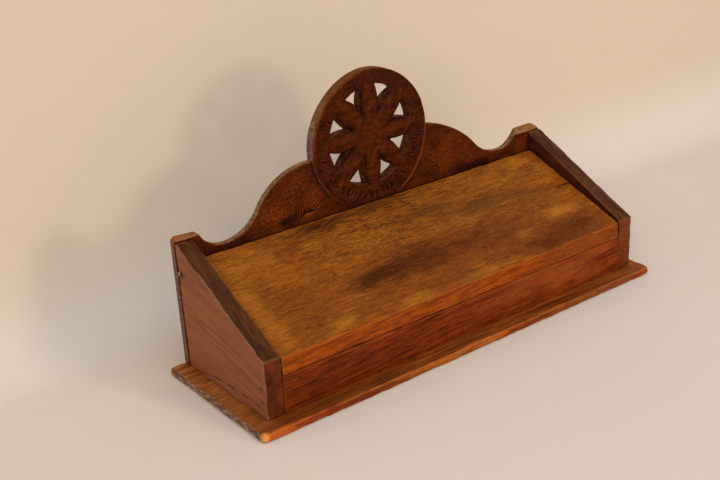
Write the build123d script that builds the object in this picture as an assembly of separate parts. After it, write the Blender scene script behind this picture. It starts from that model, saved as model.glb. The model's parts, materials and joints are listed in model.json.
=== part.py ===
from build123d import *
import math
import os

# Inkstand: a low oblong box whose lid slopes down between two end boards. The back is one
# carved board with two scrolled wings and a pierced round rosette. Inside are a pen trough
# along the front and, behind it, two compartments with glass inkwells and a middle one.
# X runs along the box, Y towards the carved back and Z up. The origin is at the middle of
# the base board's underside. Heights named here are above the base board's top.

# Overall sizes
box_length = 270.0  # over the outer faces of the end boards
box_depth = 82.9  # from the front edges of the ends to the back of the carved board
back_height = 72.4  # ends and carved board at the back corners
front_height = 32.2  # ends at the front

# Base board, which stands out unevenly because it was nailed on by eye
base_thickness = 4.7
base_left = 9.3
base_right = 6.6
base_front = 10.2
base_back = 0.3
base_corner = 2.0

# Boards of the box
end_thickness = 10.6
back_thickness = 5.3
rail_thickness = 8.0
divider_thickness = 4.0
divider_height = 26.0
housing_depth = 2.5  # how far the long divider is let into each end
notch_depth = 1.5  # how far a short divider is let into the long one
edge_round = 0.6

# Lid: its top lies below the sloping tops of the ends
lid_thickness = 9.3
lid_below_front = 1.0
lid_below_back = 11.2
lid_front_set_back = 0.2
lid_back_gap = 1.6  # from the lid's back edge to the carved board
lid_end_gap = 0.5
lid_rest_gap = 0.3
lid_edge_round = 1.0

# Lid pins, pressed into the lid and turning in the end boards
pin_radius = 1.2
pin_in_lid = 12.0
pin_in_end = 6.5
pin_running_gap = 0.05
pin_end_gap = 0.5
lean_gap = 2.65  # between the upright lid and the rosette disc
swing_gap = 0.35  # round the lid's back corner as it swings through the cove
stop_gap = 0.15  # left between the open lid and the disc

# Rosette disc and its eight openings
disc_radius = 41.25
disc_off_centre = -3.8
disc_proud = 2.3
disc_sunk = 4.35  # how far the disc's circle would reach below the lid's top
disc_trim_gap = 0.4
rosette_lift = 2.6  # rosette centre above the disc's centre
petal_count = 8
opening_outer_radius = 29.5
opening_inner_radius = 17.0
opening_half_angle = 13.5
opening_bulge = 1.1  # how far each petal edge swells into its opening
opening_round = 0.7

# Wings of the carved board, left then right, cut by eye and so not quite alike
dip_from_end = {"left": 30.8, "right": 35.3}
dip_above_lid = {"left": 2.0, "right": 5.0}
crest_from_disc = {"left": 43.2, "right": 31.2}
crest_above_disc = {"left": -3.7, "right": -0.1}
crest_share = {"left": 0.61, "right": 0.71}  # share of the scroll that the upper arc takes
end_sweep_radius = {"left": 17.2, "right": 15.6}  # of the arc from each dip to the end stretch
end_rise = {"left": 2.1, "right": 3.4}  # outer end of that stretch above the end board
end_lift = {"left": 1.1, "right": 3.3}  # its inner end above the end board
end_round = {"left": 3.0, "right": 6.0}
end_tip_round = {"left": 3.0, "right": 6.5}  # its outer end, worn round

# Glass inkwells and their stoppers
well_length = 38.0
well_width = 36.0
well_gap = 1.5
well_corner = 5.0
well_wall = 3.5
well_floor = 4.0
well_shoulder = 3.0
neck_height = 5.0
neck_radius = 10.0
neck_bore = 6.5
well_headroom = 3.0  # between a stopper and the closed lid
stopper_gap = 0.1
stopper_depth = 4.0
stopper_cap_height = 4.0
stopper_cap_radius = 9.0

# Nails
nail_radius = 0.8
nail_head_radius = 1.3
nail_head_height = 0.6
nail_gap = 0.02
nail_length = 18.0
skew_nail_height = 54.9
skew_nail_from_back = 0.9  # head centre in front of the joint with the carved board
skew_nail_angle = 20.0
skew_nail_length = 12.0
rail_nail_heights = (9.2, 17.0)
back_nail_share = (0.16, 0.5, 0.82)  # of the back height
base_nail_share = (0.12, 0.45, 0.76)  # of the depth of an end

# Places worked out from the sizes
base_length = box_length + base_left + base_right
base_depth = box_depth + base_front + base_back
top = base_thickness
middle_x = (base_left - base_right) / 2
outer = {"left": middle_x - box_length / 2, "right": middle_x + box_length / 2}
inner = {"left": outer["left"] + end_thickness, "right": outer["right"] - end_thickness}
inward = {"left": 1, "right": -1}
front_y = base_front - base_depth / 2
back_y = front_y + box_depth
back_front_y = back_y - back_thickness
rail_back_y = front_y + rail_thickness

lid_front_y = front_y + lid_front_set_back
lid_back_y = back_front_y - lid_back_gap
lid_front_z = top + front_height - lid_below_front
lid_back_z = top + back_height - lid_below_back
lid_slope = math.atan2(lid_back_z - lid_front_z, lid_back_y - lid_front_y)
lid_drop = lid_thickness / math.cos(lid_slope)

disc_x = middle_x + disc_off_centre
disc_z = lid_back_z - disc_sunk + disc_radius
disc_front_y = back_front_y - disc_proud

pin_y = disc_front_y - lean_gap - lid_thickness / 2
pin_foot_y = pin_y - lid_thickness / 2 * math.sin(lid_slope)


def lid_top(y):
    """Height of the lid's upper face at y: a straight slope from its front to its back."""
    return lid_front_z + (y - lid_front_y) * math.tan(lid_slope)


def lid_under(y):
    """Height of the lid's lower face at y."""
    return lid_top(y) - lid_drop


pin_z = lid_top(pin_foot_y) - lid_thickness / 2 * math.cos(lid_slope)
tail_radius = math.hypot(lid_back_y - pin_y, lid_back_z - pin_z)
lid_reach = (pin_foot_y - lid_front_y) / math.cos(lid_slope)
lean_angle = math.degrees(math.atan2(lean_gap - stop_gap, lid_reach))
opening_angle = 90 + math.degrees(lid_slope) + lean_angle

long_divider_back_y = back_front_y - well_width - 2 * well_gap
long_divider_front_y = long_divider_back_y - divider_thickness
bay_length = well_length + 2 * well_gap
well_y = (long_divider_back_y + back_front_y) / 2
well_x = {side: inner[side] + inward[side] * bay_length / 2 for side in inner}
stopper_top_z = lid_under(well_y - stopper_cap_radius) - well_headroom
neck_top_z = stopper_top_z - stopper_cap_height
well_body_z = neck_top_z - neck_height


def box_between(low, high):
    """A block given by its lowest and highest corners."""
    size = [b - a for a, b in zip(low, high)]
    centre = [(a + b) / 2 for a, b in zip(low, high)]
    return Pos(*centre) * Box(*size)


def side_prism(points, x_low, x_high, rounds=None):
    """A profile of (y, z) points carried along X. rounds maps a point's index to its radius."""
    face = make_face(Polyline(*points, close=True))
    for index, radius in (rounds or {}).items():
        corner = Vector(*points[index])
        nearest = face.vertices().sort_by_distance(corner)[0]
        face = fillet(nearest, radius)
    return extrude(Plane.YZ.offset(x_low) * face, x_high - x_low)


def along(direction, start, radius, length):
    """A round bar from start along a direction."""
    return Plane(origin=start, z_dir=direction) * Cylinder(
        radius, length, align=(Align.CENTER, Align.CENTER, Align.MIN)
    )


def nail(start, direction, length, gap=0.0):
    """A nail with its flat head at start; with a gap it is the hole, open past the head."""
    shank = along(direction, start, nail_radius + gap, length + gap)
    head = along(direction, start, nail_head_radius + gap, nail_head_height + gap)
    if not gap:
        return shank + head
    outwards = tuple(-part for part in direction)
    return shank + head + along(outwards, start, nail_head_radius + gap, nail_head_radius)


def drive(nails):
    """The nails, and the holes that they fill."""
    solids = Compound([nail(*each) for each in nails])
    holes = [nail(*each, nail_gap) for each in nails]
    return solids, holes


def end_board(side):
    """An end board with a sloping top, the lid pin's blind hole and the divider's housing."""
    points = [
        (front_y, top),
        (back_front_y, top),
        (back_front_y, top + back_height),
        (front_y, top + front_height),
    ]
    low, high = sorted((outer[side], inner[side]))
    board = side_prism(points, low, high, {2: edge_round, 3: 2 * edge_round})
    pin_hole_start = (inner[side], pin_y, pin_z)
    outwards = (-inward[side], 0, 0)
    pin_hole = along(
        outwards, pin_hole_start, pin_radius + pin_running_gap, pin_in_end + pin_end_gap
    )
    housing_x = sorted((inner[side], inner[side] - inward[side] * housing_depth))
    housing = box_between(
        (housing_x[0], long_divider_front_y, top),
        (housing_x[1], long_divider_back_y, top + divider_height),
    )
    return board - pin_hole - housing


def scroll(side):
    """The top line of one wing, from its outer corner to its crest.

    Two arcs meet in the scroll, level at the dip and at the crest, so their radii add up to
    (span squared plus rise squared) over twice the rise. A third arc sweeps from the dip out
    to the nearly level stretch over the end board.
    """
    sign = -inward[side]
    dip_x = outer[side] - sign * dip_from_end[side]
    crest_x = disc_x + sign * crest_from_disc[side]
    dip_z = lid_back_z + dip_above_lid[side]
    crest_z = disc_z + crest_above_disc[side]
    span = abs(dip_x - crest_x)
    rise = crest_z - dip_z
    both = (span**2 + rise**2) / (2 * rise)
    crest_r = both * crest_share[side]
    dip_r = both - crest_r
    turn = math.asin(span / both)
    corner_rise = top + back_height + end_lift[side] - dip_z
    sweep_radius = end_sweep_radius[side]
    corner_turn = math.acos(1 - corner_rise / sweep_radius)

    def on_sweep(angle):
        return (
            dip_x + sign * sweep_radius * math.sin(angle),
            dip_z + sweep_radius * (1 - math.cos(angle)),
        )

    def on_dip(angle):
        return (dip_x - sign * dip_r * math.sin(angle), dip_z + dip_r * (1 - math.cos(angle)))

    def on_crest(angle):
        return (
            crest_x + sign * crest_r * math.sin(angle),
            crest_z - crest_r * (1 - math.cos(angle)),
        )

    corner = on_sweep(corner_turn)
    stretch = Line((outer[side], top + back_height + end_rise[side]), corner)
    sweep = ThreePointArc(corner, on_sweep(corner_turn / 2), on_sweep(0))
    dip = ThreePointArc(on_dip(0), on_dip(turn / 2), on_dip(turn))
    crest = ThreePointArc(on_crest(turn), on_crest(turn / 2), on_crest(0))
    return [stretch, sweep, dip, crest], corner, (crest_x, crest_z)


def end_bevel(side):
    """What is planed off above an end board, from its top up to the carved board's rear edge."""
    level = top + back_height
    slope = end_rise[side] / back_thickness
    spare = 1.0
    points = [
        (back_front_y - spare, level - spare * slope),
        (back_y + spare, level + (back_thickness + spare) * slope),
        (back_y + spare, level + 2 * back_thickness),
        (back_front_y - spare, level + 2 * back_thickness),
    ]
    dip_x = outer[side] + inward[side] * dip_from_end[side]
    low, high = sorted((outer[side] - inward[side] * spare, dip_x))
    return side_prism(points, low, high)


def rosette_opening():
    """One opening of the rosette, pointing up: an arc outside and two swelling petal edges."""
    half = math.radians(opening_half_angle)
    outer_x = opening_outer_radius * math.sin(half)
    outer_z = opening_outer_radius * math.cos(half)
    apex = (0, opening_inner_radius)
    left = (-outer_x, outer_z)
    right = (outer_x, outer_z)
    side_length = math.hypot(outer_x, outer_z - opening_inner_radius)
    across = (outer_z - opening_inner_radius) / side_length
    along_x = outer_x / side_length
    middle_z = (outer_z + opening_inner_radius) / 2 + opening_bulge * along_x
    middle_x_right = outer_x / 2 - opening_bulge * across
    face = make_face(
        [
            ThreePointArc(left, (0, opening_outer_radius), right),
            ThreePointArc(right, (middle_x_right, middle_z), apex),
            ThreePointArc(apex, (-middle_x_right, middle_z), left),
        ]
    )
    return fillet(face.vertices(), opening_round)


def carved_board():
    """The back board: wings behind the box and a thicker pierced disc above it."""
    left_line, left_corner, left_crest = scroll("left")
    right_line, right_corner, right_crest = scroll("right")
    corners = {"left": left_corner, "right": right_corner}
    low_left = (outer["left"], top)
    low_right = (outer["right"], top)
    outline = left_line + right_line
    outline.append(Line((outer["left"], top + back_height + end_rise["left"]), low_left))
    outline.append(Line(low_left, low_right))
    outline.append(Line(low_right, (outer["right"], top + back_height + end_rise["right"])))
    outline.append(Line(left_crest, (disc_x, left_crest[1])))
    outline.append(Line((disc_x, left_crest[1]), (disc_x, right_crest[1])))
    outline.append(Line((disc_x, right_crest[1]), right_crest))
    wings = make_face(outline)
    for side, corner in corners.items():
        nearest = wings.vertices().sort_by_distance(Vector(*corner))[0]
        wings = fillet(nearest, end_round[side])
        tip = Vector(outer[side], top + back_height + end_rise[side])
        wings = fillet(wings.vertices().sort_by_distance(tip)[0], end_tip_round[side])
    disc = Pos(disc_x, disc_z) * Circle(disc_radius)
    rear = Plane(origin=(0, back_y, 0), x_dir=(1, 0, 0), z_dir=(0, -1, 0))
    board = extrude(rear * (wings + disc), back_thickness)
    board = board - end_bevel("left") - end_bevel("right")
    thick_disc = extrude(rear * disc, back_thickness + disc_proud)
    trim_z = lid_back_z + disc_trim_gap
    below_lid = box_between(
        (disc_x - 2 * disc_radius, disc_front_y - 1, disc_z - 2 * disc_radius),
        (disc_x + 2 * disc_radius, back_front_y, trim_z),
    )
    board = board + (thick_disc - below_lid)
    opening = rosette_opening()
    step = 360 / petal_count
    for index in range(petal_count):
        turned = Pos(disc_x, disc_z + rosette_lift) * Rot(Z=(index + 0.5) * step) * opening
        board -= extrude(rear * turned, back_thickness + disc_proud)
    cove_length = inner["right"] - inner["left"]
    cove_start = (inner["left"], pin_y, pin_z)
    return board - along((1, 0, 0), cove_start, tail_radius + swing_gap, cove_length)


def rail():
    """The front rail between the ends, bevelled on top to the lid's slope."""
    points = [
        (front_y, top),
        (rail_back_y, top),
        (rail_back_y, lid_under(rail_back_y) - lid_rest_gap),
        (front_y, lid_under(front_y) - lid_rest_gap),
    ]
    return side_prism(points, inner["left"], inner["right"])


def lid_board():
    """The sloping lid, upright at its front and back edges, with a hole for each pin."""
    points = [
        (lid_front_y, lid_under(lid_front_y)),
        (lid_back_y, lid_under(lid_back_y)),
        (lid_back_y, lid_back_z),
        (lid_front_y, lid_front_z),
    ]
    left_x = inner["left"] + lid_end_gap
    right_x = inner["right"] - lid_end_gap
    board = side_prism(points, left_x, right_x, {2: edge_round, 3: lid_edge_round})
    for side, x in (("left", left_x), ("right", right_x)):
        hole_start = (x, pin_y, pin_z)
        board -= along((inward[side], 0, 0), hole_start, pin_radius + nail_gap, pin_in_lid)
    return board


def lid_pin(side):
    """An iron pin, from the bottom of its hole in the lid to near the end of the other."""
    lid_x = inner[side] + inward[side] * (lid_end_gap + pin_in_lid)
    length = pin_in_lid + lid_end_gap + pin_in_end
    return along((-inward[side], 0, 0), (lid_x, pin_y, pin_z), pin_radius, length)


def base():
    """The base board, with rounded corners and eased edges."""
    board = box_between(
        (-base_length / 2, -base_depth / 2, 0), (base_length / 2, base_depth / 2, top)
    )
    board = fillet(board.edges().filter_by(Axis.Z), base_corner)
    rim = board.faces().sort_by(Axis.Z)[-1].edges()
    return fillet(rim, edge_round)


def long_divider():
    """The divider behind the pen trough, notched for the two short ones."""
    board = box_between(
        (inner["left"] - housing_depth, long_divider_front_y, top),
        (inner["right"] + housing_depth, long_divider_back_y, top + divider_height),
    )
    for side in inner:
        low, high = short_divider_x(side)
        board -= box_between(
            (low, long_divider_back_y - notch_depth, top),
            (high, long_divider_back_y, top + divider_height),
        )
    return board


def short_divider_x(side):
    """Where a short divider starts and stops along X: just past its inkwell's bay."""
    near = inner[side] + inward[side] * bay_length
    return sorted((near, near + inward[side] * divider_thickness))


def short_divider(side):
    """A divider from the long one back to the carved board."""
    low, high = short_divider_x(side)
    return box_between(
        (low, long_divider_back_y - notch_depth, top), (high, back_front_y, top + divider_height)
    )


def rounded_block(length, width, corner, low_z, high_z):
    """An upright block with round corners, centred on Z."""
    return extrude(
        Plane.XY.offset(low_z) * RectangleRounded(length, width, corner), high_z - low_z
    )


def inkwell(side):
    """A square glass well with a round neck, hollow inside."""
    body = rounded_block(well_length, well_width, well_corner, top, well_body_z)
    body = fillet(body.faces().sort_by(Axis.Z)[-1].edges(), edge_round)
    neck = along((0, 0, 1), (0, 0, well_body_z - edge_round), neck_radius, neck_height + edge_round)
    hollow = rounded_block(
        well_length - 2 * well_wall,
        well_width - 2 * well_wall,
        well_corner - well_wall,
        top + well_floor,
        well_body_z - well_shoulder,
    )
    bore_z = well_body_z - 2 * well_shoulder
    bore = along((0, 0, 1), (0, 0, bore_z), neck_bore, neck_top_z - bore_z)
    return Pos(well_x[side], well_y) * (body + neck - hollow - bore)


def stopper(side):
    """A turned stopper: a plug in the neck under a round cap with a small knob's swell."""
    plug_radius = neck_bore - stopper_gap
    plug = along((0, 0, 1), (0, 0, neck_top_z - stopper_depth), plug_radius, stopper_depth)
    cap = along((0, 0, 1), (0, 0, neck_top_z), stopper_cap_radius, stopper_cap_height)
    cap = fillet(cap.edges().sort_by(Axis.Z)[-1], stopper_cap_height / 3)
    return Pos(well_x[side], well_y) * (plug + cap)


back_nails, back_holes = drive(
    [
        ((outer[side] + inward[side] * end_thickness / 2, back_y, top + share * back_height),
         (0, -1, 0), nail_length)
        for side in inner
        for share in back_nail_share
    ]
)
skew = math.radians(skew_nail_angle)
skew_nails, skew_holes = drive(
    [
        ((outer[side] + inward[side] * nail_head_radius * math.sin(skew),
          back_front_y - skew_nail_from_back, top + skew_nail_height),
         (inward[side] * math.cos(skew), math.sin(skew), 0), skew_nail_length)
        for side in inner
    ]
)
rail_nails, rail_holes = drive(
    [
        ((outer[side], front_y + rail_thickness / 2, top + height),
         (inward[side], 0, 0), end_thickness + nail_length / 2)
        for side in inner
        for height in rail_nail_heights
    ]
)
end_depth = back_front_y - front_y
base_nails, base_holes = drive(
    [
        ((outer[side] + inward[side] * end_thickness / 2, front_y + share * end_depth, 0),
         (0, 0, 1), nail_length)
        for side in inner
        for share in base_nail_share
    ]
    + [
        ((middle_x + side * box_length / 6, front_y + rail_thickness / 2, 0),
         (0, 0, 1), nail_length)
        for side in (-1, 1)
    ]
)

parts = {
    "base_board": base() - base_holes,
    "left_end": end_board("left") - back_holes - skew_holes - rail_holes - base_holes,
    "right_end": end_board("right") - back_holes - skew_holes - rail_holes - base_holes,
    "carved_back": carved_board() - back_holes - skew_holes,
    "front_rail": rail() - rail_holes - base_holes,
    "lid": lid_board(),
    "lid_pins": Compound([lid_pin(side) for side in inner]),
    "long_divider": long_divider(),
    "left_divider": short_divider("left"),
    "right_divider": short_divider("right"),
    "left_inkwell": inkwell("left"),
    "right_inkwell": inkwell("right"),
    "left_stopper": stopper("left"),
    "right_stopper": stopper("right"),
    "back_nails": back_nails,
    "skew_nails": skew_nails,
    "rail_nails": rail_nails,
    "base_nails": base_nails,
}

os.makedirs("parts", exist_ok=True)
for name, shape in parts.items():
    export_step(shape, f"parts/{name}.step")

print("lid pin at y", round(pin_y, 3), "z", round(pin_z, 3))
print("lid opens by", round(opening_angle, 2), "degrees; slope", round(math.degrees(lid_slope), 2))
print("cove depth", round(tail_radius + swing_gap - (back_front_y - pin_y), 2))
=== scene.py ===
# %% [markdown]
# # A carved wooden inkstand
#
# This lesson dresses a finished construction model of an old desk inkstand: a low box with a
# sloping lid, and a carved back board with a pierced rosette. Every piece but the nails and
# the hinge pins is built again as its own surface, with the soft worn edges and tool marks that
# the real one has, and takes the place of its plain twin. All shape work is in millimetres, and
# only the last step of making a mesh turns them into Blender's metres.

# %% The frame and the measures taken from it
import json
import math

import bpy
import numpy as np
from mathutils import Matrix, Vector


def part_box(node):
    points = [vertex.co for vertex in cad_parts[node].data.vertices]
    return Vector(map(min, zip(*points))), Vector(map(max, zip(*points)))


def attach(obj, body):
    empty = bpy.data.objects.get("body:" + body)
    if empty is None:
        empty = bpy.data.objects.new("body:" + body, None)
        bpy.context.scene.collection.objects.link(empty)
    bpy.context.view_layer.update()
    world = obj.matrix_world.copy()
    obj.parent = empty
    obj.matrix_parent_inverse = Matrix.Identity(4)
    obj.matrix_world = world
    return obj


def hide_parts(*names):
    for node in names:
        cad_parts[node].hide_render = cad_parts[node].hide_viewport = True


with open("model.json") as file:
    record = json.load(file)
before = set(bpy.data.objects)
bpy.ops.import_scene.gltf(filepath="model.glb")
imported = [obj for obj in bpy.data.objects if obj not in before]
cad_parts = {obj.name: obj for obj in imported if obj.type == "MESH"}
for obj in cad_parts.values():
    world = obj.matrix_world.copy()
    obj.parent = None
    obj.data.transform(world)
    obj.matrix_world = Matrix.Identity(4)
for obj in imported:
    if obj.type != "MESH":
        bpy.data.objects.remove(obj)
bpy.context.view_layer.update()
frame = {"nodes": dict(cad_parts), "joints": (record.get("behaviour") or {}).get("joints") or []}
MM = 0.001


def corners_mm(node):
    """The lowest and highest corner of a construction piece, in millimetres."""
    low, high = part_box(node)
    return np.array(low) / MM, np.array(high) / MM


box_low, box_high = corners_mm("carved_back")
left_low, left_high = corners_mm("left_end")
right_low, right_high = corners_mm("right_end")
base_low, base_high = corners_mm("base_board")
rail_low, rail_high = corners_mm("front_rail")
lid_low, lid_high = corners_mm("lid")

table_z = base_high[2]  # the base board's top, which the box stands on
corner_high = left_high[2]  # top of the box at its back corners
disc_high = box_high[2]
back_height = 72.4  # of the end boards at the back, before their edges are rounded
front_height = 32.2  # and at the front
front_y = left_low[1]
back_y = box_high[1]
back_front_y = left_high[1]  # front of the carved board's wings
inner_left = left_high[0]
inner_right = right_low[0]
print("inside length", inner_right - inner_left, "front", front_y, "back", back_y, "base top",
      table_z)

# %% [markdown]
# ## The camera
#
# The photograph was taken from the left front and a little above, with a lens about one and a
# half times as long as the picture is wide. Its place was worked out from the corners and
# edges of the box, so the camera is set by three angles, a focal length and a position.

# %% The camera
camera_azimuth = math.radians(36.365)
camera_elevation = math.radians(22.941)
camera_roll = math.radians(-3.306)
camera_place = np.array([-380.65, -457.07, 304.81])
focal_share = 1139.17 / 720  # focal length over the picture's width
sensor_width = 36.0

backwards = np.array([
    -math.sin(camera_azimuth) * math.cos(camera_elevation),
    -math.cos(camera_azimuth) * math.cos(camera_elevation),
    math.sin(camera_elevation),
])
level_right = np.cross(-backwards, [0, 0, 1])
level_right /= np.linalg.norm(level_right)
level_up = np.cross(level_right, -backwards)
right_hand = level_right * math.cos(camera_roll) + level_up * math.sin(camera_roll)
upwards = level_up * math.cos(camera_roll) - level_right * math.sin(camera_roll)


def matrix_from(right, up, back, place):
    """The matrix of an object at a place in mm, whose X, Y and Z axes point right, up and back."""
    columns = np.eye(4)
    columns[:3] = np.column_stack([right, up, back, place * MM])
    return columns.T.tolist()


camera_data = bpy.data.cameras.new("camera")
camera_data.sensor_width = sensor_width
camera_data.lens = focal_share * sensor_width
camera_data.clip_start = 0.01
camera = bpy.data.objects.new("camera", camera_data)
bpy.context.collection.objects.link(camera)
camera.matrix_world = matrix_from(right_hand, upwards, backwards, camera_place)
bpy.context.scene.camera = camera
bpy.context.scene.view_settings.view_transform = "Standard"
print("camera lens", round(camera_data.lens, 1), "mm")

# %% [markdown]
# ## Shader maths as plain sums
#
# Wood is mostly stretched noise and soft masks, which take many small nodes. A socket is
# wrapped in a class whose operators add Math nodes, so that a finish reads as a sum, and one
# method makes every other kind of node.

# %% A socket that can be added and multiplied


class Wire:
    """One output socket inside a material. Sums on it add Math nodes."""

    def __init__(self, tree, socket=None):
        self.tree = tree
        self.socket = socket

    def node(self, kind, settings=None, inputs=None, output=0):
        """Adds a node, sets it up, fills its inputs with values or wires and returns an output."""
        made = self.tree.nodes.new(kind)
        for key, value in (settings or {}).items():
            setattr(made, key, value)
        for key, value in (inputs or {}).items():
            if isinstance(value, Wire):
                self.tree.links.new(value.socket, made.inputs[key])
            else:
                made.inputs[key].default_value = value
        return Wire(self.tree, made.outputs[output] if made.outputs else None)

    def math(self, operation, first, second):
        """A Math node of two wires or numbers."""
        return self.node("ShaderNodeMath", {"operation": operation}, {0: first, 1: second})

    def __add__(self, other):
        return self.math("ADD", self, other)

    def __sub__(self, other):
        return self.math("SUBTRACT", self, other)

    def __rsub__(self, other):
        return self.math("SUBTRACT", other, self)

    def __mul__(self, other):
        return self.math("MULTIPLY", self, other)

    __radd__ = __add__


def colour(red, green, blue):
    """A colour as seen on a screen, 0 to 255, as the linear light that a shader wants."""
    screen = np.array([red, green, blue]) / 255
    linear = np.where(screen <= 0.04045, screen / 12.92, ((screen + 0.055) / 1.055) ** 2.4)
    return (*linear.tolist(), 1.0)


# %% [markdown]
# ## Patterns measured in millimetres
#
# Every pattern is read at the piece's own coordinates in millimetres, so a noise that is 40
# long and 2 wide is a streak of that size. A board's grain can lean, so its coordinates can be
# turned first.

# %% Coordinates, noise and masks


def piece_space(wire, turn=(0.0, 0.0, 0.0), shift=(0.0, 0.0, 0.0)):
    """The piece's own coordinates in millimetres, turned by angles in degrees."""
    place = wire.node("ShaderNodeTexCoord", output="Object")
    angles = [math.radians(angle) for angle in turn]
    return wire.node("ShaderNodeMapping", {"vector_type": "POINT"}, {
        "Vector": place, "Location": shift, "Rotation": angles, "Scale": (1000, 1000, 1000)})


def noise(space, size, detail=2.0, rough=0.5, distort=0.0, seed=0):
    """Noise whose lumps are about size (x, y, z) in millimetres; 0 to 1, mostly near a half."""
    scaled = space.node("ShaderNodeMapping", {"vector_type": "POINT"}, {
        "Vector": space, "Location": (seed * 3.7, seed * 5.3, seed * 7.1),
        "Scale": [1 / each for each in size]})
    return space.node("ShaderNodeTexNoise", {"noise_dimensions": "3D"}, {
        "Vector": scaled, "Scale": 1.0, "Detail": detail, "Roughness": rough,
        "Distortion": distort})


def band(value, low, high):
    """0 below low, 1 above high and a smooth step between; low may be the larger."""
    return value.node("ShaderNodeMapRange", {"interpolation_type": "SMOOTHSTEP"}, {
        "Value": value, "From Min": low, "From Max": high})


def tint(base, top, amount):
    """The base colour going over to the top colour by amount, 0 to 1."""
    base, top = (one if isinstance(one, Wire) else colour(*one) for one in (base, top))
    return amount.node("ShaderNodeMix", {"data_type": "RGBA"}, {0: amount, 6: base, 7: top}, 2)


def shade(base, amount):
    """The base colour times a grey amount."""
    grey = amount.node("ShaderNodeCombineColor", inputs={0: amount, 1: amount, 2: amount})
    return amount.node("ShaderNodeMix", {"data_type": "RGBA", "blend_type": "MULTIPLY"},
                       {0: 1.0, 6: base, 7: grey}, 2)


def patch(space, centre, radii, ragged, seed):
    """A soft ragged oval: 1 in its middle and 0 outside its radii, in millimetres."""
    moved = space.node("ShaderNodeMapping", {"vector_type": "POINT"}, {
        "Vector": space, "Location": [-c / r for c, r in zip(centre, radii)],
        "Scale": [1 / r for r in radii]})
    far = space.node("ShaderNodeVectorMath", {"operation": "LENGTH"}, {0: moved}, "Value")
    uneven = noise(space, (radii[0] * 0.5, radii[1] * 0.5, 9.0), 3.0, 0.6, seed=seed)
    fibres = noise(space, (9, 0.9, 4), 3.0, 0.65, 0.6, seed + 0.5)
    wander = (uneven - 0.5) * (2.4 * ragged) + (fibres - 0.5) * (2.8 * ragged)
    return band(far + wander, 1.1, 0.2)


def stain(base, space, tone, centre, radii, ragged, seed, strength=1.0):
    """The base colour with one soft ragged oval of another tone."""
    return tint(base, tone, patch(space, centre, radii, ragged, seed) * strength)


def heights(space):
    """The height above the table at each point, in millimetres."""
    return space.node("ShaderNodeSeparateXYZ", inputs={0: space}, output="Z")


def attribute(wire, name):
    """A number stored on the piece's points."""
    return wire.node("ShaderNodeAttribute", {"attribute_name": name}, output="Fac")


def empty_tree(holder):
    """A Wire in the cleared node tree of a material or a world."""
    holder.use_nodes = True
    holder.node_tree.nodes.clear()
    return Wire(holder.node_tree)


def finish(build):
    """Turns a function into a material of the same name.

    The function gets a Wire and returns values or wires for the shader's sockets.
    """
    material = bpy.data.materials.new(build.__name__)
    wire = empty_tree(material)
    shader = wire.node("ShaderNodeBsdfPrincipled", inputs=build(wire))
    wire.node("ShaderNodeOutputMaterial", inputs={"Surface": shader})
    return material


def bump(height, depth_mm):
    """The normal of a surface whose height goes up by depth_mm as the value goes from 0 to 1."""
    return height.node("ShaderNodeBump", inputs={
        "Height": height, "Strength": 1.0, "Distance": depth_mm * MM}, output="Normal")


# %% [markdown]
# ## Making a mesh, and a board with worn edges
#
# A real board has no sharp edge: hands and cloths round it off, unevenly. Each board here is a
# closed grid over a block. Points within the edge's radius are pulled onto a rounding, as when
# a ball rolls along the edge, and that radius swells and shrinks along the board. Then the
# block is bent to the board's eight real corners, so the same steps make a wedge or a slope.

# %% Turning arrays into a piece


def make_piece(name, points, faces, body, node, material, marks=None):
    """A mesh piece from points in millimetres, riding on a body in place of a plain node."""
    mesh = bpy.data.meshes.new(name)
    mesh.from_pydata((points * MM).tolist(), [], np.asarray(faces, dtype=object).tolist())
    mesh.polygons.foreach_set("use_smooth", [True] * len(mesh.polygons))
    for key, values in (marks or {}).items():
        stored = mesh.attributes.new(key, "FLOAT", "POINT")
        stored.data.foreach_set("value", values.astype(np.float32))
    mesh.materials.append(material)
    piece = bpy.data.objects.new(name, mesh)
    bpy.context.collection.objects.link(piece)
    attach(piece, body)
    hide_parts(node)
    print(name, len(points), "points", len(faces), "faces")


def lumps(points, size, seed, waves=18):
    """An uneven field near -1 to 1: the sum of sin(2 pi k.p + phase) over waves of about one size.

    The waves k run in random directions.
    """
    random = np.random.default_rng(seed)
    directions = random.normal(size=(waves, 3))
    directions /= np.linalg.norm(directions, axis=1, keepdims=True)
    lengths = size * random.uniform(0.6, 1.8, waves)
    phases = random.uniform(0, 2 * math.pi, waves)
    turns = points @ (directions / lengths[:, None]).T * 2 * math.pi + phases
    return np.sin(turns).sum(axis=1) * math.sqrt(2 / waves) / 1.6


def stations(length, step, radius):
    """Grid lines along one side: close over each rounded edge, evenly spaced between."""
    close = radius * np.array([0, 0.35, 0.7, 1.1, 1.8])
    count = max(2, int(math.ceil((length - 2 * close[-1]) / step)) + 1)
    middle = np.linspace(close[-1], length - close[-1], count)
    return np.concatenate([close[:-1], middle, length - close[-2::-1]])


def squares_of(grid):
    """The four corner values of every square of a grid of values, in order round the square."""
    return np.stack([grid[:-1, :-1], grid[1:, :-1], grid[1:, 1:], grid[:-1, 1:]], -1)


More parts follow.
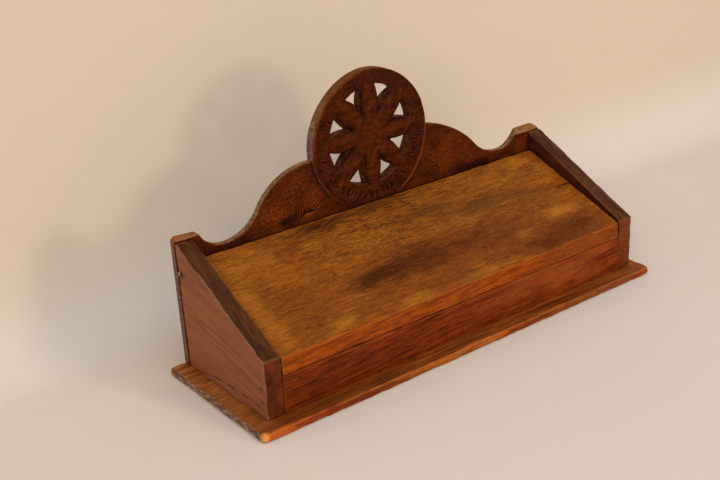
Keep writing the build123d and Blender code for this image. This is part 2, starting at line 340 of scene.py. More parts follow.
def block_grid(lines):
    """A closed grid over a block: six sheets of squares, welded where they meet."""
    sheets = []
    for axis in range(3):
        one, two = [other for other in range(3) if other != axis]
        for value, flip in ((lines[axis][0], axis != 1), (lines[axis][-1], axis == 1)):
            u, v = np.meshgrid(lines[one], lines[two], indexing="ij")
            sheet = np.zeros(u.shape + (3,))
            sheet[..., one] = u
            sheet[..., two] = v
            sheet[..., axis] = value
            square = squares_of(np.arange(u.size).reshape(u.shape)).reshape(-1, 4)
            sheets.append((sheet.reshape(-1, 3), square[:, ::-1] if flip else square))
    points = np.concatenate([sheet for sheet, _ in sheets])
    starts = np.cumsum([0] + [len(sheet) for sheet, _ in sheets[:-1]])
    faces = np.concatenate([square + start for (_, square), start in zip(sheets, starts)])
    points, place = np.unique(points.round(6), axis=0, return_inverse=True)
    return points, place.reshape(-1)[faces]


def worn_board(corners, radius, step, seed, wear=0.5, sink=0.12, extra=None, relief=None,
               add_lines=None):
    """A board between eight corners, given as [x][y][z] low and high, with worn edges.

    A point p of the block is clamped to q, at least a radius inside every face, and then set
    one radius from q towards p. extra(p) adds to the radius, and relief(p, out) gives a depth
    cut below each point. A gentle sink keeps the faces from being truly flat.
    """
    corners = np.array(corners, float)
    size = np.array([np.linalg.norm(np.diff(corners, axis=axis), axis=-1).mean()
                     for axis in range(3)])
    lines = [stations(side, step, radius) for side in size]
    for axis, more in (add_lines or {}).items():
        lines[axis] = np.unique(np.concatenate([lines[axis], more]))
    block, faces = block_grid(lines)
    near = np.sort(np.minimum(block, size - block), axis=1)
    r = radius * (1 + wear * lumps(block, 14, seed) + 0.5 * wear * lumps(block, 4, seed + 1))
    if extra:
        r = r + extra(block)
    r = np.clip(r, 0.15 * radius, 0.48 * size.min())[:, None]
    q = np.clip(block, r, size - r)
    out = block - q
    out /= np.maximum(np.linalg.norm(out, axis=1, keepdims=True), 1e-9)
    depth = sink * (0.5 + 0.5 * np.clip(lumps(block, 38, seed + 2), -1, 1))
    if relief:
        cut = relief(block, out)
        depth = depth + cut
    else:
        cut = np.zeros(len(block))
    moved = q + r * out - out * depth[:, None]
    share = moved / size
    a, b, c = share[:, 0:1], share[:, 1:2], share[:, 2:3]
    points = sum(
        corners[i, j, k] * (a if i else 1 - a) * (b if j else 1 - b) * (c if k else 1 - c)
        for i in (0, 1) for j in (0, 1) for k in (0, 1)
    )
    marks = {"edge": near[:, 1], "cut": cut, "up": out[:, 2], "front": -out[:, 1],
             "side": out[:, 0]}
    return points, faces, marks


def block_corners(low, high):
    """The eight corners of an upright block, as [x][y][z]."""
    return [[[(x, y, z) for z in (low[2], high[2])] for y in (low[1], high[1])]
            for x in (low[0], high[0])]


# %% [markdown]
# ## The wood finishes
#
# The box is old walnut-coloured wood under a worn polish. A wood finish has a broad figure,
# streaks along the grain and fine pores, each a noise stretched along the board. The colours
# are mixed from the figure and the streaks, then darkened where dirt sits and, as painted
# shade, in cuts and on faces turned from the light, and lightened where hands have rubbed the
# edges. Some faces also carry a painted sheen, and some high places a painted highlight. The
# same patterns drive the roughness and a faint relief. Each finish is written as a function,
# and becomes a material of the same name.

# %% Grain shared by all the boards


def grain(space, seed, size=(60, 3.2, 8), wave=0.8):
    """A board's figure, streaks and pores, each 0 to 1, with streaks of about the given size."""
    broad = [size[0] * 0.7, size[1] * 6, size[2] * 3]
    figure = noise(space, broad, 2.0, 0.5, 0.4, seed)
    streaks = noise(space, size, 4.0, 0.62, wave, seed + 1)
    pores = noise(space, (size[0] * 0.11, 0.34, 0.6), 1.5, 0.5, 0.15, seed + 2)
    return band(figure, 0.36, 0.64), band(streaks, 0.36, 0.64), band(pores, 0.52, 0.72)


def worn_edges(wire, space, reach, seed, broken=3.2):
    """1 on rubbed edges and 0 away from them; a high broken leaves gaps along the edge."""
    away = attribute(wire, "edge")
    uneven = noise(space, (9, 9, 9), 3.0, 0.6, seed=seed)
    return band(away + (uneven - 0.5) * (broken * reach), reach, 0.1 * reach)


skew_nail_y = 76.7  # from the front edge of the end, just in front of the carved board
skew_nail_z = 54.9


@finish
def end_wood(wire):
    """The end boards: matt purplish brown outside, with a painted sheen, darker and greasier on
    the other sides, and painted shade on the inner face.
    """
    place = piece_space(wire)
    figure, streaks, pores = grain(piece_space(wire, (-9, 0, 0)), 11, (8, 34, 3.4), 0.5)
    base = tint((134, 79, 52), (158, 98, 66), streaks)
    base = tint(base, (154, 92, 58), figure * 0.5)
    # Lighter purple patches on the outer face: a painted sheen.
    painted_sheen = band(noise(place, (26, 26, 20), 4.0, 0.6, seed=14), 0.42, 0.7)
    base = tint(base, (146, 98, 80), painted_sheen * 0.55)
    # Darker where the relief is cut deep, in the groove and the dent by the skew nail: painted
    # shade.
    base = shade(base, 1 - (band(attribute(wire, "cut"), 0.14, 0.4) * 0.7 + pores * 0.16))
    nail_at = (left_low[0], front_y + skew_nail_y - 2.2, table_z + skew_nail_z + 0.4)
    base = stain(base, place, (44, 26, 24), nail_at, (6, 3.6, 2.2), 0.3, 17, 0.95)
    # The inner face is painted dark brown: painted shade.
    inwards = attribute(wire, "inside")
    inner_wood = tint((48, 19, 7), (88, 40, 15), streaks)
    base = tint(base, inner_wood, band(inwards, 0.3, 0.8))
    front_wood = tint((62, 20, 4), (106, 43, 11), figure * 0.5 + streaks * 0.5)
    right_side = patch(place, (right_low[0], 0, 60), (60, 120, 90), 0.1, 19)
    front_wood = tint(front_wood, (134, 70, 24), right_side * 0.45)
    base = tint(base, front_wood, band(attribute(wire, "front"), 0.3, 0.8))
    up = band(attribute(wire, "up"), 0.3, 0.75)
    smears = band(noise(place, (3.2, 26, 9), 4.0, 0.62, 0.6, 18), 0.36, 0.66)
    top_wood = tint((50, 22, 6), (86, 47, 17), smears)
    top_wood = tint(top_wood, (146, 88, 42), right_side * smears * 0.1)
    base = tint(base, top_wood, up)
    rubbed = worn_edges(wire, place, 0.9, 15, 3.0)
    outside = band(inwards, 0.15, -0.25)
    base = tint(base, (162, 116, 98), rubbed * outside * 0.55)
    base = tint(base, (116, 70, 36), rubbed * (1 - outside) * 0.4)
    return {"Base Color": base, "Roughness": 0.6 - up * 0.12 + pores * 0.1,
            "Specular IOR Level": 0.13,
            "Normal": bump(streaks * 0.5 + pores * -0.6, 0.1)}


@finish
def rail_wood(wire):
    """The front rail: dark red brown, with slanting grain that turns more orange at the right."""
    place = piece_space(wire)
    leaning = piece_space(wire, (0, 3, 0))
    figure, streaks, pores = grain(leaning, 21, (34, 8, 2.2), 1.2)
    fibres = band(noise(leaning, (11, 4, 0.7), 3.0, 0.62, 0.7, 23), 0.42, 0.62)
    base = tint((72, 21, 5), (140, 58, 16), streaks * 0.55 + fibres * 0.45)
    base = stain(base, place, (150, 74, 22), (86, -36, 20), (90, 20, 17), 0.4, 22, figure * 0.75)
    dark = patch(place, (-84, -36, 13), (64, 20, 12), 0.4, 24)
    base = shade(base, 1 - (dark * 0.2 + pores * 0.3))
    rubbed = worn_edges(wire, place, 0.8, 25)
    base = tint(base, (164, 84, 30), rubbed * 0.35)
    return {"Base Color": base, "Roughness": 0.42 + pores * 0.2, "Specular IOR Level": 0.06,
            "Normal": bump(streaks * 0.5 + pores * -0.7, 0.12)}


@finish
def base_wood(wire):
    """The base board: dark brown with orange streaks, and rubbed edges of its own colours."""
    place = piece_space(wire)
    figure, streaks, pores = grain(piece_space(wire, (0, 0, 1.5)), 31, (44, 2.6, 5), 1.1)
    base = tint((98, 42, 12), (176, 92, 32), streaks * 0.9)
    base = tint(base, (122, 68, 26), figure * 0.4)
    left_margin = patch(place, (base_low[0] + 2, 6, table_z), (14, 76, 12), 0.1, 33)
    strips = noise(place, (22, 3.4, 6), 3.0, 0.6, 0.9, 34)
    margin_wood = tint((132, 76, 36), (204, 126, 66), band(strips, 0.3, 0.66))
    base = tint(base, margin_wood, left_margin)
    left, front = base_low[:2]
    base = stain(base, place, (116, 62, 26), (left + 2, front + 8, table_z), (14, 34, 12), 0.4, 39,
                 0.55)
    base = stain(base, place, (104, 84, 62), (left, 2, table_z), (4, 30, 12), 0.4, 37, 0.55)
    base = stain(base, place, (76, 34, 11), (-90, front + 5, table_z), (58, 7, 6), 0.3, 42, 0.5)
    facing = attribute(wire, "front")
    front_wood = tint((92, 32, 6), (168, 76, 20), streaks)
    front_stains = (((98, 35, 8), -88, 46, 41, 0.8),
                    ((176, 108, 38), -20, 46, 43, 0.3 + streaks * 0.4),
                    ((112, 66, 26), 96, 62, 44, 0.65))
    for tone, x, reach, seed, strength in front_stains:
        front_wood = stain(front_wood, place, tone, (x, front, 3), (reach, 12, 8), 0.4, seed,
                           strength)
    base = tint(base, front_wood, band(facing, 0.1, 0.6))
    # The left side face is greyish purple: partly the wood's own colour, partly a painted sheen.
    sideways = band(attribute(wire, "side"), -0.3, -0.8)
    speck = band(noise(place, (3, 5, 2), 3.0, 0.65, 0.4, 38), 0.42, 0.62)
    side_wood_and_sheen = tint((106, 74, 58), (172, 136, 120), speck)
    base = tint(base, side_wood_and_sheen, sideways)
    rubbed = worn_edges(wire, place, 1.2, 35)
    base = tint(base, (186, 104, 42), rubbed * (1 - sideways) * 0.45)
    base = stain(base, place, (206, 112, 38), (left + 9, front, 3.5), (11, 2.4, 3.5), 0.4, 40, 0.6)
    base = stain(base, place, (238, 160, 70), (left + 1, front + 1, 3.2), (3.4, 3.2, 5), 0.1, 36)
    base = shade(base, 1 - pores * 0.28)
    return {"Base Color": base, "Roughness": 0.48 + pores * 0.2, "Specular IOR Level": 0.08,
            "Normal": bump(streaks * 0.5 + pores * -0.7, 0.14)}


lid_edge_height = 10.0  # of the lid's upright front and back edges
lid_slope = math.atan2(lid_high[2] - lid_low[2] - lid_edge_height, lid_high[1] - lid_low[1])
lid_front_top = lid_low[2] + lid_edge_height
# Spots on the lid: u along the box, v up the slope, half length, half width, strength
lid_light_spots = ((19, 28, 9, 44, 0.55), (55, 7, 11, 5.5, 0.8), (103, 4, 15, 4.5, 0.8),
                   (235, 25, 20, 6, 0.85), (238, 74, 13, 6, 0.6), (196, 19, 11, 4, 0.5),
                   (34, 66, 24, 10, 0.5), (150, 3, 26, 3.5, 0.5))
lid_dark_spots = ((89, 27, 24, 7, 0.75), (118, 29, 50, 14, 0.65), (236, 12, 12, 8, 0.35),
                  (203, 4, 9, 5, 0.4), (88, 76, 26, 6, 0.8), (226, 8, 50, 18, 0.4),
                  (180, 28, 40, 13, 0.4), (130, 77, 34, 4, 0.45))
lid_red_spots = ((130, 24, 92, 26, 0.5), (222, 8, 54, 17, 0.6), (40, 22, 22, 20, 0.35))
lid_olive_spots = ((150, 60, 26, 5.5, 0.55), (190, 51, 32, 8, 0.6), (222, 46, 26, 6, 0.4))


def spotted(base, space, tone, ragged, seed, spots, share=1.0):
    """The base colour with a row of spots from one of the tables above."""
    for number, (u, v, long, wide, strength) in enumerate(spots):
        base = stain(base, space, tone, (u, v, 0), (long, wide, 40), ragged, seed + number,
                     share * strength)
    return base


@finish
def lid_wood(wire):
    """The lid: golden brown wavy figure, dark streaks at the back, stains and rubbed spots.

    Its coordinates are u along the box from the left outer face and v up the slope.
    """
    shift = (
        -left_low[0],
        -(lid_low[1] * math.cos(lid_slope) + lid_front_top * math.sin(lid_slope)),
        lid_low[1] * math.sin(lid_slope) - lid_front_top * math.cos(lid_slope),
    )
    space = piece_space(wire, (-math.degrees(lid_slope), 0, 0), shift)
    figure, streaks, pores = grain(space, 41, (22, 3.4, 8), 1.6)
    clouds = band(noise(space, (30, 12, 10), 3.0, 0.6, 0.8, 43), 0.34, 0.66)
    fibres = band(noise(space, (7, 0.8, 4), 4.0, 0.7, 1.2, 44), 0.38, 0.62)
    mixed = streaks * 0.24 + clouds * 0.26 + fibres * 0.5
    base = tint((82, 35, 8), (190, 114, 34), mixed)
    base = tint(base, (140, 66, 15), figure * 0.35)
    dashes = band(noise(space, (13, 1.3, 6), 3.0, 0.6, 1.5, 50), 0.5, 0.6)
    back = patch(space, (124, 70, 0), (92, 26, 40), 0.5, 45)
    base = tint(base, (58, 27, 8), dashes * (back * 0.6 + 0.2))
    base = spotted(base, space, (118, 52, 16), 0.4, 151, lid_red_spots)
    curl = band(noise(space, (2.4, 3.0, 6), 2.0, 0.5, 1.2, 57), 0.45, 0.62)
    curly = patch(space, (95, 52, 0), (70, 26, 40), 0.5, 58)
    base = tint(base, (190, 118, 38), curl * curly * 0.3)
    base = spotted(base, space, (58, 25, 8), 0.45, 61, lid_dark_spots, 1.15 - fibres * 0.35)
    base = spotted(base, space, (86, 56, 22), 0.45, 131, lid_olive_spots)
    base = spotted(base, space, (186, 118, 42), 0.4, 141, lid_light_spots, 0.55 + fibres * 0.45)
    edge_on = band(attribute(wire, "front"), 0.35, 0.85)
    smooth_streaks = noise(space, (16, 4, 1.6), 3.0, 0.6, seed=48)
    edge_wood = tint((122, 51, 6), (164, 79, 13), band(smooth_streaks, 0.34, 0.66))
    edge_wood = stain(edge_wood, space, (118, 62, 18), (232, 0, 0), (54, 30, 40), 0.4, 60, 0.5)
    base = tint(base, edge_wood, edge_on)
    # The crack's inside is painted nearly black: painted shade.
    crack = band(attribute(wire, "cut"), 0.15, 0.45) * (1 - edge_on)
    base = tint(base, (26, 10, 4), crack * 0.95)
    under = band(attribute(wire, "up"), -0.1, -0.6)
    plain_wood = tint((104, 62, 30), (146, 94, 50), streaks * 0.6 + fibres * 0.4)
    base = tint(base, plain_wood, under)
    specks = band(noise(space, (2.6, 0.7, 3), 2.0, 0.6, 0.9, 46), 0.4, 0.62)
    base = shade(base, 1.03 - (pores * 0.3 + specks * 0.16))
    rubbed = worn_edges(wire, space, 0.9, 49)
    base = tint(base, (180, 100, 36), rubbed * 0.35)
    base = stain(base, space, (186, 122, 70), (258.6, 66, 0), (1.5, 22, 40), 0.1, 59, 0.6)
    return {"Base Color": base, "Roughness": 0.5 + pores * 0.15,
            "Specular IOR Level": 0.06,
            "Normal": bump(streaks * 0.4 + fibres * 0.3 + dashes * -0.3 + pores * -0.5, 0.14)}


@finish
def carved_wood(wire):
    """The carved board: dark red brown, with painted shade nearly black in the cuts, and orange on
    high spots, partly rubbed wear and partly painted highlight.
    """
    place = piece_space(wire)
    figure, streaks, pores = grain(piece_space(wire, (0, 4, 0)), 71, (22, 10, 3.0), 1.2)
    base = tint((38, 11, 3), (74, 28, 7), streaks)
    base = tint(base, (58, 20, 5), figure * 0.5)
    mottle = band(noise(place, (1.6, 1.6, 1.3), 3.0, 0.7, 0.5, 76), 0.45, 0.68)
    base = tint(base, (104, 44, 12), mottle * 0.35)
    # Orange on the 'high' mark: partly rubbed wear, partly painted highlight.
    raised = attribute(wire, "high")
    base = tint(base, (166, 76, 22), raised * (0.42 + mottle * 0.45))
    # Nearly black where the 'cut' mark is high: painted shade in the cuts, valleys and by the
    # openings, and in the wings' shady places.
    deep = band(attribute(wire, "cut"), 0.06, 0.5)
    base = tint(base, (20, 6, 3), deep * 0.85)
    # A painted highlight along parts of the disc's front edge.
    base = tint(base, (170, 92, 36), attribute(wire, "painted_rim_highlight") * 0.6)
    rim = band(attribute(wire, "rim"), 0.55, 0.95)
    # The rim's sides are greyish purple and its top a lighter grey tan: partly the wood's own
    # colour, partly a painted reflection of the cool light from the left and above.
    rim_mottle = noise(place, (5, 5, 1.5), 3.0, 0.6, seed=74)
    side_wood_and_sheen = tint((100, 74, 64), (140, 108, 97), band(rim_mottle, 0.4, 0.6))
    top_wood = tint((112, 82, 54), (146, 114, 82), band(rim_mottle, 0.4, 0.6))
    rim_wood = tint(side_wood_and_sheen, top_wood, band(attribute(wire, "up"), 0.1, 0.8))
    high_up = band(heights(place), disc_high - 26, disc_high - 6)
    rim_wood = tint(rim_wood, tint((90, 54, 29), (130, 82, 45), rim_mottle), high_up)
    # Over the ends' tops the rim is golden tan, partly a painted highlight on the planed, rounded
    # edge.
    for x in (box_low[0], box_high[0]):
        over_end = (x, back_y, corner_high + 3)
        rim_wood = stain(rim_wood, place, (146, 94, 54), over_end, (17, 30, 6.5), 0.3, 77)
    # The openings' walls are painted darker: painted shade inside the openings.
    low = band(attribute(wire, "low"), 0.3, 0.8)
    shaded_hole_wood = tint((66, 40, 24), (102, 66, 42), band(rim_mottle, 0.4, 0.6))
    rim_wood = tint(rim_wood, shaded_hole_wood, low)
    base = tint(base, rim_wood, rim)
    rubbed = worn_edges(wire, place, 0.6, 75)
    base = tint(base, (132, 66, 26), rubbed * 0.4)
    base = shade(base, (rim * 0.05 + 0.95) - pores * 0.2)
    return {"Base Color": base, "Roughness": 0.4 + rim * 0.28 + pores * 0.1,
            "Specular IOR Level": 0.03,
            "Normal": bump(streaks * 0.4 + pores * -0.6 + rim_mottle * rim, 0.12)}


@finish
def inner_wood(wire):
    """Unpolished wood inside the box, with a few old ink stains."""
    place = piece_space(wire)
    _, streaks, pores = grain(place, 81, (44, 8, 2.6), 0.6)
    base = tint((128, 84, 48), (172, 122, 76), streaks)
    ink = noise(place, (14, 14, 9), 3.0, 0.6, 0.5, 84)
    base = tint(base, (38, 36, 52), band(ink, 0.6, 0.7) * 0.75)
    base = shade(base, 1 - pores * 0.3)
    return {"Base Color": base, "Roughness": 0.7, "Normal": bump(streaks - pores, 0.1)}


print("lid slope", round(math.degrees(lid_slope), 2), "degrees")

# %% [markdown]
# ## Iron, glass and the turned stoppers
#
# The nails and the hinge pins are old iron, brown with rust and rubbed bright in spots, and one
# nail head carries a painted glint. The inkwells are thick pressed glass, slightly green, and
# their stoppers are turned hardwood.

# %% Iron, glass and stopper finishes


@finish
def iron(wire):
    """Rusty iron with bright rubbed spots, and a painted glint on the skew nail's head."""
    space = piece_space(wire)
    rust = band(noise(space, (1.2, 1.2, 1.2), 3.0, 0.65, seed=91), 0.4, 0.6)
    base = tint((112, 88, 76), (64, 40, 30), rust)
    # A near white spot on the skew nail's head: a painted glint.
    painted_glint_at = (left_low[0], front_y + skew_nail_y, table_z + skew_nail_z)
    base = stain(base, space, (220, 210, 210), painted_glint_at, (3, 1.5, 1.5), 0.1, 92)
    return {"Base Color": base, "Metallic": 0.6 - rust * 0.5, "Roughness": 0.42 + rust * 0.4,
            "Normal": bump(rust, 0.1)}


@finish
def glass(wire):
    """Pressed glass whose wall has faint ripples."""
    ripple = noise(piece_space(wire), (9, 9, 14), 2.0, 0.5, 0.6, 95)
    return {"Base Color": colour(214, 232, 222), "Roughness": 0.04, "IOR": 1.5,
            "Transmission Weight": 1.0, "Normal": bump(ripple, 0.25)}


@finish
def stopper_wood(wire):
    """Turned hardwood with rings left by the tool."""
    space = piece_space(wire)
    ring = noise(space, (30, 30, 0.7), 2.0, 0.5, seed=97)
    streaks = noise(space, (12, 2, 2), 3.0, 0.6, 0.5, 98)
    base = tint((78, 40, 18), (132, 76, 36), band(streaks, 0.36, 0.64))
    return {"Base Color": base, "Roughness": 0.36 + ring * 0.2, "Normal": bump(ring, 0.15)}


for name in frame["nodes"]:
    if name == "lid_pins" or name.endswith("_nails"):
        for held in frame["nodes"][name].material_slots:
            held.material = iron

# %% [markdown]
# ## The end boards
#
# Each end is one board, 10.6 mm thick, whose top slopes with the lid. Seen from the side it is
# a block with its front corner lowered, so the block's top front corners are simply lower.

# %% The two ends
end_front_z = table_z + front_height
end_edge = 0.9
groove_rise = 7.2  # height of the groove's front end above the foot
groove_length = 72.0


def end_relief(block, out):
    """Scrape marks, a groove that sinks towards the back of the foot, and a dent at a nail."""
    outside = np.abs(out[:, 0])
    scrape = 0.05 * (1 + lumps(block * [1, 0.25, 1], 3.5, 105))
    line = groove_rise * (1 - (block[:, 1] / groove_length) ** 2) + 0.25 * np.sin(block[:, 1] / 7)
    groove = np.exp(-((block[:, 2] - line) / 0.75) ** 2) * (0.7 + 0.3 * lumps(block, 9, 106))
    from_nail = np.hypot(block[:, 1] - skew_nail_y, block[:, 2] - skew_nail_z)
    dent = np.clip(1.6 - 0.55 * from_nail, 0, 1)
    return outside * (scrape + 0.42 * groove + 0.6 * dent)


for side, low, high in (("left", left_low, left_high), ("right", right_low, right_high)):
    corners = np.array(block_corners(low, high), float)
    corners[:, 0, 1, 2] = end_front_z
    seed = 101 if side == "left" else 121
    lines = {1: skew_nail_y + np.arange(-2.7, 0.3, 0.45),
             2: np.concatenate([np.arange(1.4, 8.6, 0.42),
                                skew_nail_z + np.arange(-2.8, 2.9, 0.45)])}
    points, faces, marks = worn_board(corners, end_edge, 1.6, seed, relief=end_relief,
                                      add_lines=lines)
    marks["inside"] = marks["side"] if side == "left" else -marks["side"]
    make_piece(f"{side}_end_board", points, faces, "box", f"{side}_end", end_wood,
               marks)

# %% [markdown]
# ## The base board, the front rail and the lid
#
# The base is a thin flat board whose front left corner has been knocked round. The rail's top
# is bevelled to the lid's slope. The lid is a board whose front and back edges stand upright,
# so its eight corners make a leaning block; a short crack runs in from its right edge.

# %% Base and rail


def base_knocks(block):
    """Extra rounding that fades evenly in 6 mm from each upright edge, and in 10 mm at one."""
    span = block.max(axis=0)
    from_corner = np.hypot(np.minimum(block[:, 0], span[0] - block[:, 0]),
                           np.minimum(block[:, 1], span[1] - block[:, 1]))
    knocked = np.hypot(block[:, 0], block[:, 1])
    return 0.8 * np.clip(1 - from_corner / 6, 0, 1) + 0.7 * np.clip(1 - knocked / 10, 0, 1)


def base_dents(block, out):
    """Shallow dents where an uneven field rises above a half: 0.16 (lumps - 0.5)."""
    return 0.16 * np.clip(lumps(block, 5, 134) - 0.5, 0, 1)


points, faces, marks = worn_board(block_corners(base_low, base_high), 1.1, 2.0, 131,
                                  extra=base_knocks, relief=base_dents)
make_piece("base", points, faces, "box", "base_board", base_wood, marks)

rail_corners = np.array(block_corners(rail_low, rail_high), float)
rail_corners[:, 0, 1, 2] = rail_high[2] - (rail_high[1] - rail_low[1]) * math.tan(lid_slope)
points, faces, marks = worn_board(rail_corners, 0.5, 2.0, 141)
make_piece("rail", points, faces, "box", "front_rail", rail_wood, marks)

# %% The lid and its crack
crack_v = 43.6
crack_length = 17.0


def lid_relief(block, out):
    """A crack from the right edge, a chip in the front band and faint wavy hollows."""
    span = block.max(axis=0)
    from_right = span[0] - block[:, 0]
    bend = 0.3 * np.sin(from_right / 4.2) + 0.15 * np.sin(from_right / 1.7)
    off = np.abs(block[:, 1] - crack_v - bend)
    open_half = 0.75 * np.clip(1 - from_right / crack_length, 0, 1) + 0.15
    crack = np.clip(1 - off / open_half, 0, 1) * np.clip((crack_length - from_right) / 3, 0, 1)
    wavy = 0.5 + 0.5 * lumps(block * [0.35, 1, 1], 5, 155)
    chip = np.clip(1 - np.hypot(from_right - 12, 1.4 * (block[:, 2] - 2.5)) / 2.2, 0, 1)
    chip = chip + np.clip(1 - np.hypot(from_right - 1, 0.5 * (block[:, 2] - 4)) / 2.0, 0, 1)
    top = np.clip(out[:, 2], 0, 1)
    front = np.clip(-out[:, 1], 0, 1)
    return top * (0.9 * crack + 0.06 * wavy) + front * (0.7 * chip + 0.08 * wavy)


lid_corners = np.array(block_corners(lid_low, lid_high), float)
lid_corners[:, 0, 0, 2] = lid_low[2]
lid_corners[:, 0, 1, 2] = lid_front_top
lid_corners[:, 1, 0, 2] = lid_high[2] - (lid_front_top - lid_low[2])
lid_corners[:, 1, 1, 2] = lid_high[2]
crack_lines = {1: crack_v + np.arange(-1.2, 1.25, 0.2),
               0: lid_high[0] - lid_low[0] - np.arange(1.0, crack_length, 0.8)}
points, faces, marks = worn_board(lid_corners, 1.1, 1.6, 151, wear=0.3, relief=lid_relief,
                                  add_lines=crack_lines)
make_piece("lid_board", points, faces, "lid", "lid", lid_wood, marks)

# %% [markdown]
# ## The dividers
#
# Three thin boards part the inside into a pen trough, two inkwell bays and a middle bay. They
# are the same kind of board, with smaller edges.

# %% Dividers
for seed, name in enumerate(("long_divider", "left_divider", "right_divider")):
    low, high = corners_mm(name)
    if name != "long_divider":
        low[1] = corners_mm("long_divider")[1][1]
    points, faces, marks = worn_board(block_corners(low, high), 0.4, 3.0, 161 + seed, sink=0.05)
    make_piece(name + "_board", points, faces, "box", name, inner_wood, marks)

# %% [markdown]
# ## Cutting a carved board out of a grid
#
# The back board's outline curves and its disc is pierced, so it can't be a bent block. Instead
# a fine grid of points is laid over its front. A distance function says how far each point
# lies inside the wood. Points close to the outline are slid onto it, squares that lie inside
# are kept, and a square with one corner outside keeps the triangle across it. The back is the
# same grid turned over, and walls join the two along every outline, also round each opening.
# The carving is then only a depth at each point of the front.

# %% From a distance function to a closed slab
probe = 0.02  # half the distance over which a slope is measured


def sag(radius, off):
    """How far a circle lies under its top at a distance off from there: r - sqrt(r^2 - off^2)."""
    return radius - np.sqrt(radius**2 - np.clip(off, 0, radius) ** 2)


def snapped_grid(distance, xs, zs):
    """The points (x, z) of a grid, their distances, and which lie inside.

    A point p close to the outline goes to p - d s / |s|^2, with d its distance and s the slope
    of the distance, four times, but no further than 0.72 of a step.
    """
    x, z = np.meshgrid(xs, zs, indexing="ij")
    spots = np.stack([x.ravel(), z.ravel()], -1)
    step = min(np.diff(xs).min(), np.diff(zs).min())
    d = distance(spots)
    near = np.abs(d) < 0.6 * step
    start = moved = spots[near]
    for _ in range(4):
        slope = np.stack([
            distance(moved + [probe, 0]) - distance(moved - [probe, 0]),
            distance(moved + [0, probe]) - distance(moved - [0, probe]),
        ], -1) / (2 * probe)
        moved = moved - (distance(moved) / np.maximum((slope**2).sum(1), 0.2))[:, None] * slope
    spots[near] = start + np.clip(moved - start, -0.72 * step, 0.72 * step)
    d[near] = 0
    return spots, d, (d >= 0).reshape(x.shape)


def kept_faces(inside):
    """The squares inside, and a triangle for each square with one corner outside."""
    squares = squares_of(np.arange(inside.size).reshape(inside.shape))
    held = squares_of(inside)
    one_out = held.sum(axis=-1) == 3
    triangles = [squares[one_out & ~held[..., out]][:, [k for k in range(4) if k != out]]
                 for out in range(4)]
    return squares[held.all(axis=-1)], np.concatenate(triangles)


def set_back(spots, y):
    """Points (x, y, z) over spots (x, z)."""
    return np.column_stack([spots[:, 0], y, spots[:, 1]])


def slab(distance, xs, zs, front, back, depth, edge_radius, wobble_seed):
    """A closed board from front to back (y values) over the region where distance > 0.

    Near the outline the front falls away as a quarter round, and depth(spots, d) gives the cut
    below it with marks for dark and high places, which carry painted shade and painted highlight.
    """
    spots, d, inside = snapped_grid(distance, xs, zs)
    quads, triangles = kept_faces(inside)
    used, number = np.unique(np.concatenate([quads.ravel(), triangles.ravel()]),
                             return_inverse=True)
    quads = number[:quads.size].reshape(-1, 4)
    triangles = number[quads.size:].reshape(-1, 3)
    spots = spots[used]
    d = np.maximum(d[used], 0)
    count = len(spots)
    edges = np.concatenate([
        np.stack([face, np.roll(face, -1, axis=1)], -1).reshape(-1, 2)
        for face in (quads, triangles)
    ])
    keys = edges[:, 0] * count + edges[:, 1]
    back_keys = edges[:, 1] * count + edges[:, 0]
    border = edges[~np.isin(keys, back_keys)]
    rim = np.unique(border)
    r = edge_radius * (1 + 0.35 * lumps(np.column_stack([spots, d]), 7, wobble_seed))
    cut, dark, high = depth(spots, d)
    front_y_at = front + sag(r, r - d) + np.maximum(cut, 0)
    back_round = 0.3
    uneven = 0.06 * (1 + lumps(np.column_stack([spots, d * 0]), 30, wobble_seed + 1))
    back_y_at = back - sag(back_round, back_round - d) - np.clip(uneven, 0, 0.12)
    shares = (0.07, 0.3, 0.7, 0.93)
    wall = [set_back(spots[rim], front_y_at[rim] + share * (back_y_at[rim] - front_y_at[rim]))
            for share in shares]
    at_rim = np.zeros(count, int)
    at_rim[rim] = np.arange(len(rim))
    levels = [border, *(at_rim[border] + 2 * count + level * len(rim)
                        for level in range(len(shares))), border + count]
    walls = np.concatenate([
        np.stack([one[:, 1], one[:, 0], two[:, 0], two[:, 1]], -1)
        for one, two in zip(levels[:-1], levels[1:])
    ])
    points = np.concatenate([set_back(spots, front_y_at), set_back(spots, back_y_at)] + wall)
    faces = (quads.tolist() + triangles.tolist() + (quads[:, ::-1] + count).tolist()
             + (triangles[:, ::-1] + count).tolist() + walls.tolist())
    on_rim = np.zeros(len(points))
    on_rim[np.concatenate([rim, rim + count])] = 0.5
    on_rim[2 * count:] = 1
    here = spots[rim]
    up = np.zeros(len(points))
    up[rim] = (distance(here - [0, probe]) - distance(here + [0, probe])) / (2 * probe)
    up[rim + count] = up[rim]
    up[2 * count:] = np.tile(up[rim], len(shares))
    marks = {"rim": on_rim, "up": up}
    for key, values in (("cut", dark), ("high", high)):
        marks[key] = np.zeros(len(points))
        marks[key][:count] = values
    marks["edge"] = np.concatenate([d, d, np.full(len(points) - 2 * count, 2.0)])
    return points, faces, marks


# %% [markdown]
# ## Carving strokes
#
# A gouge leaves a groove that is deepest in its middle and runs out at both ends. A stroke here
# is a bent line through three points with a width and a depth. Its depth at a point falls off
# with the distance to that line, and only points close to the line are looked at.

# %% Strokes and their depth


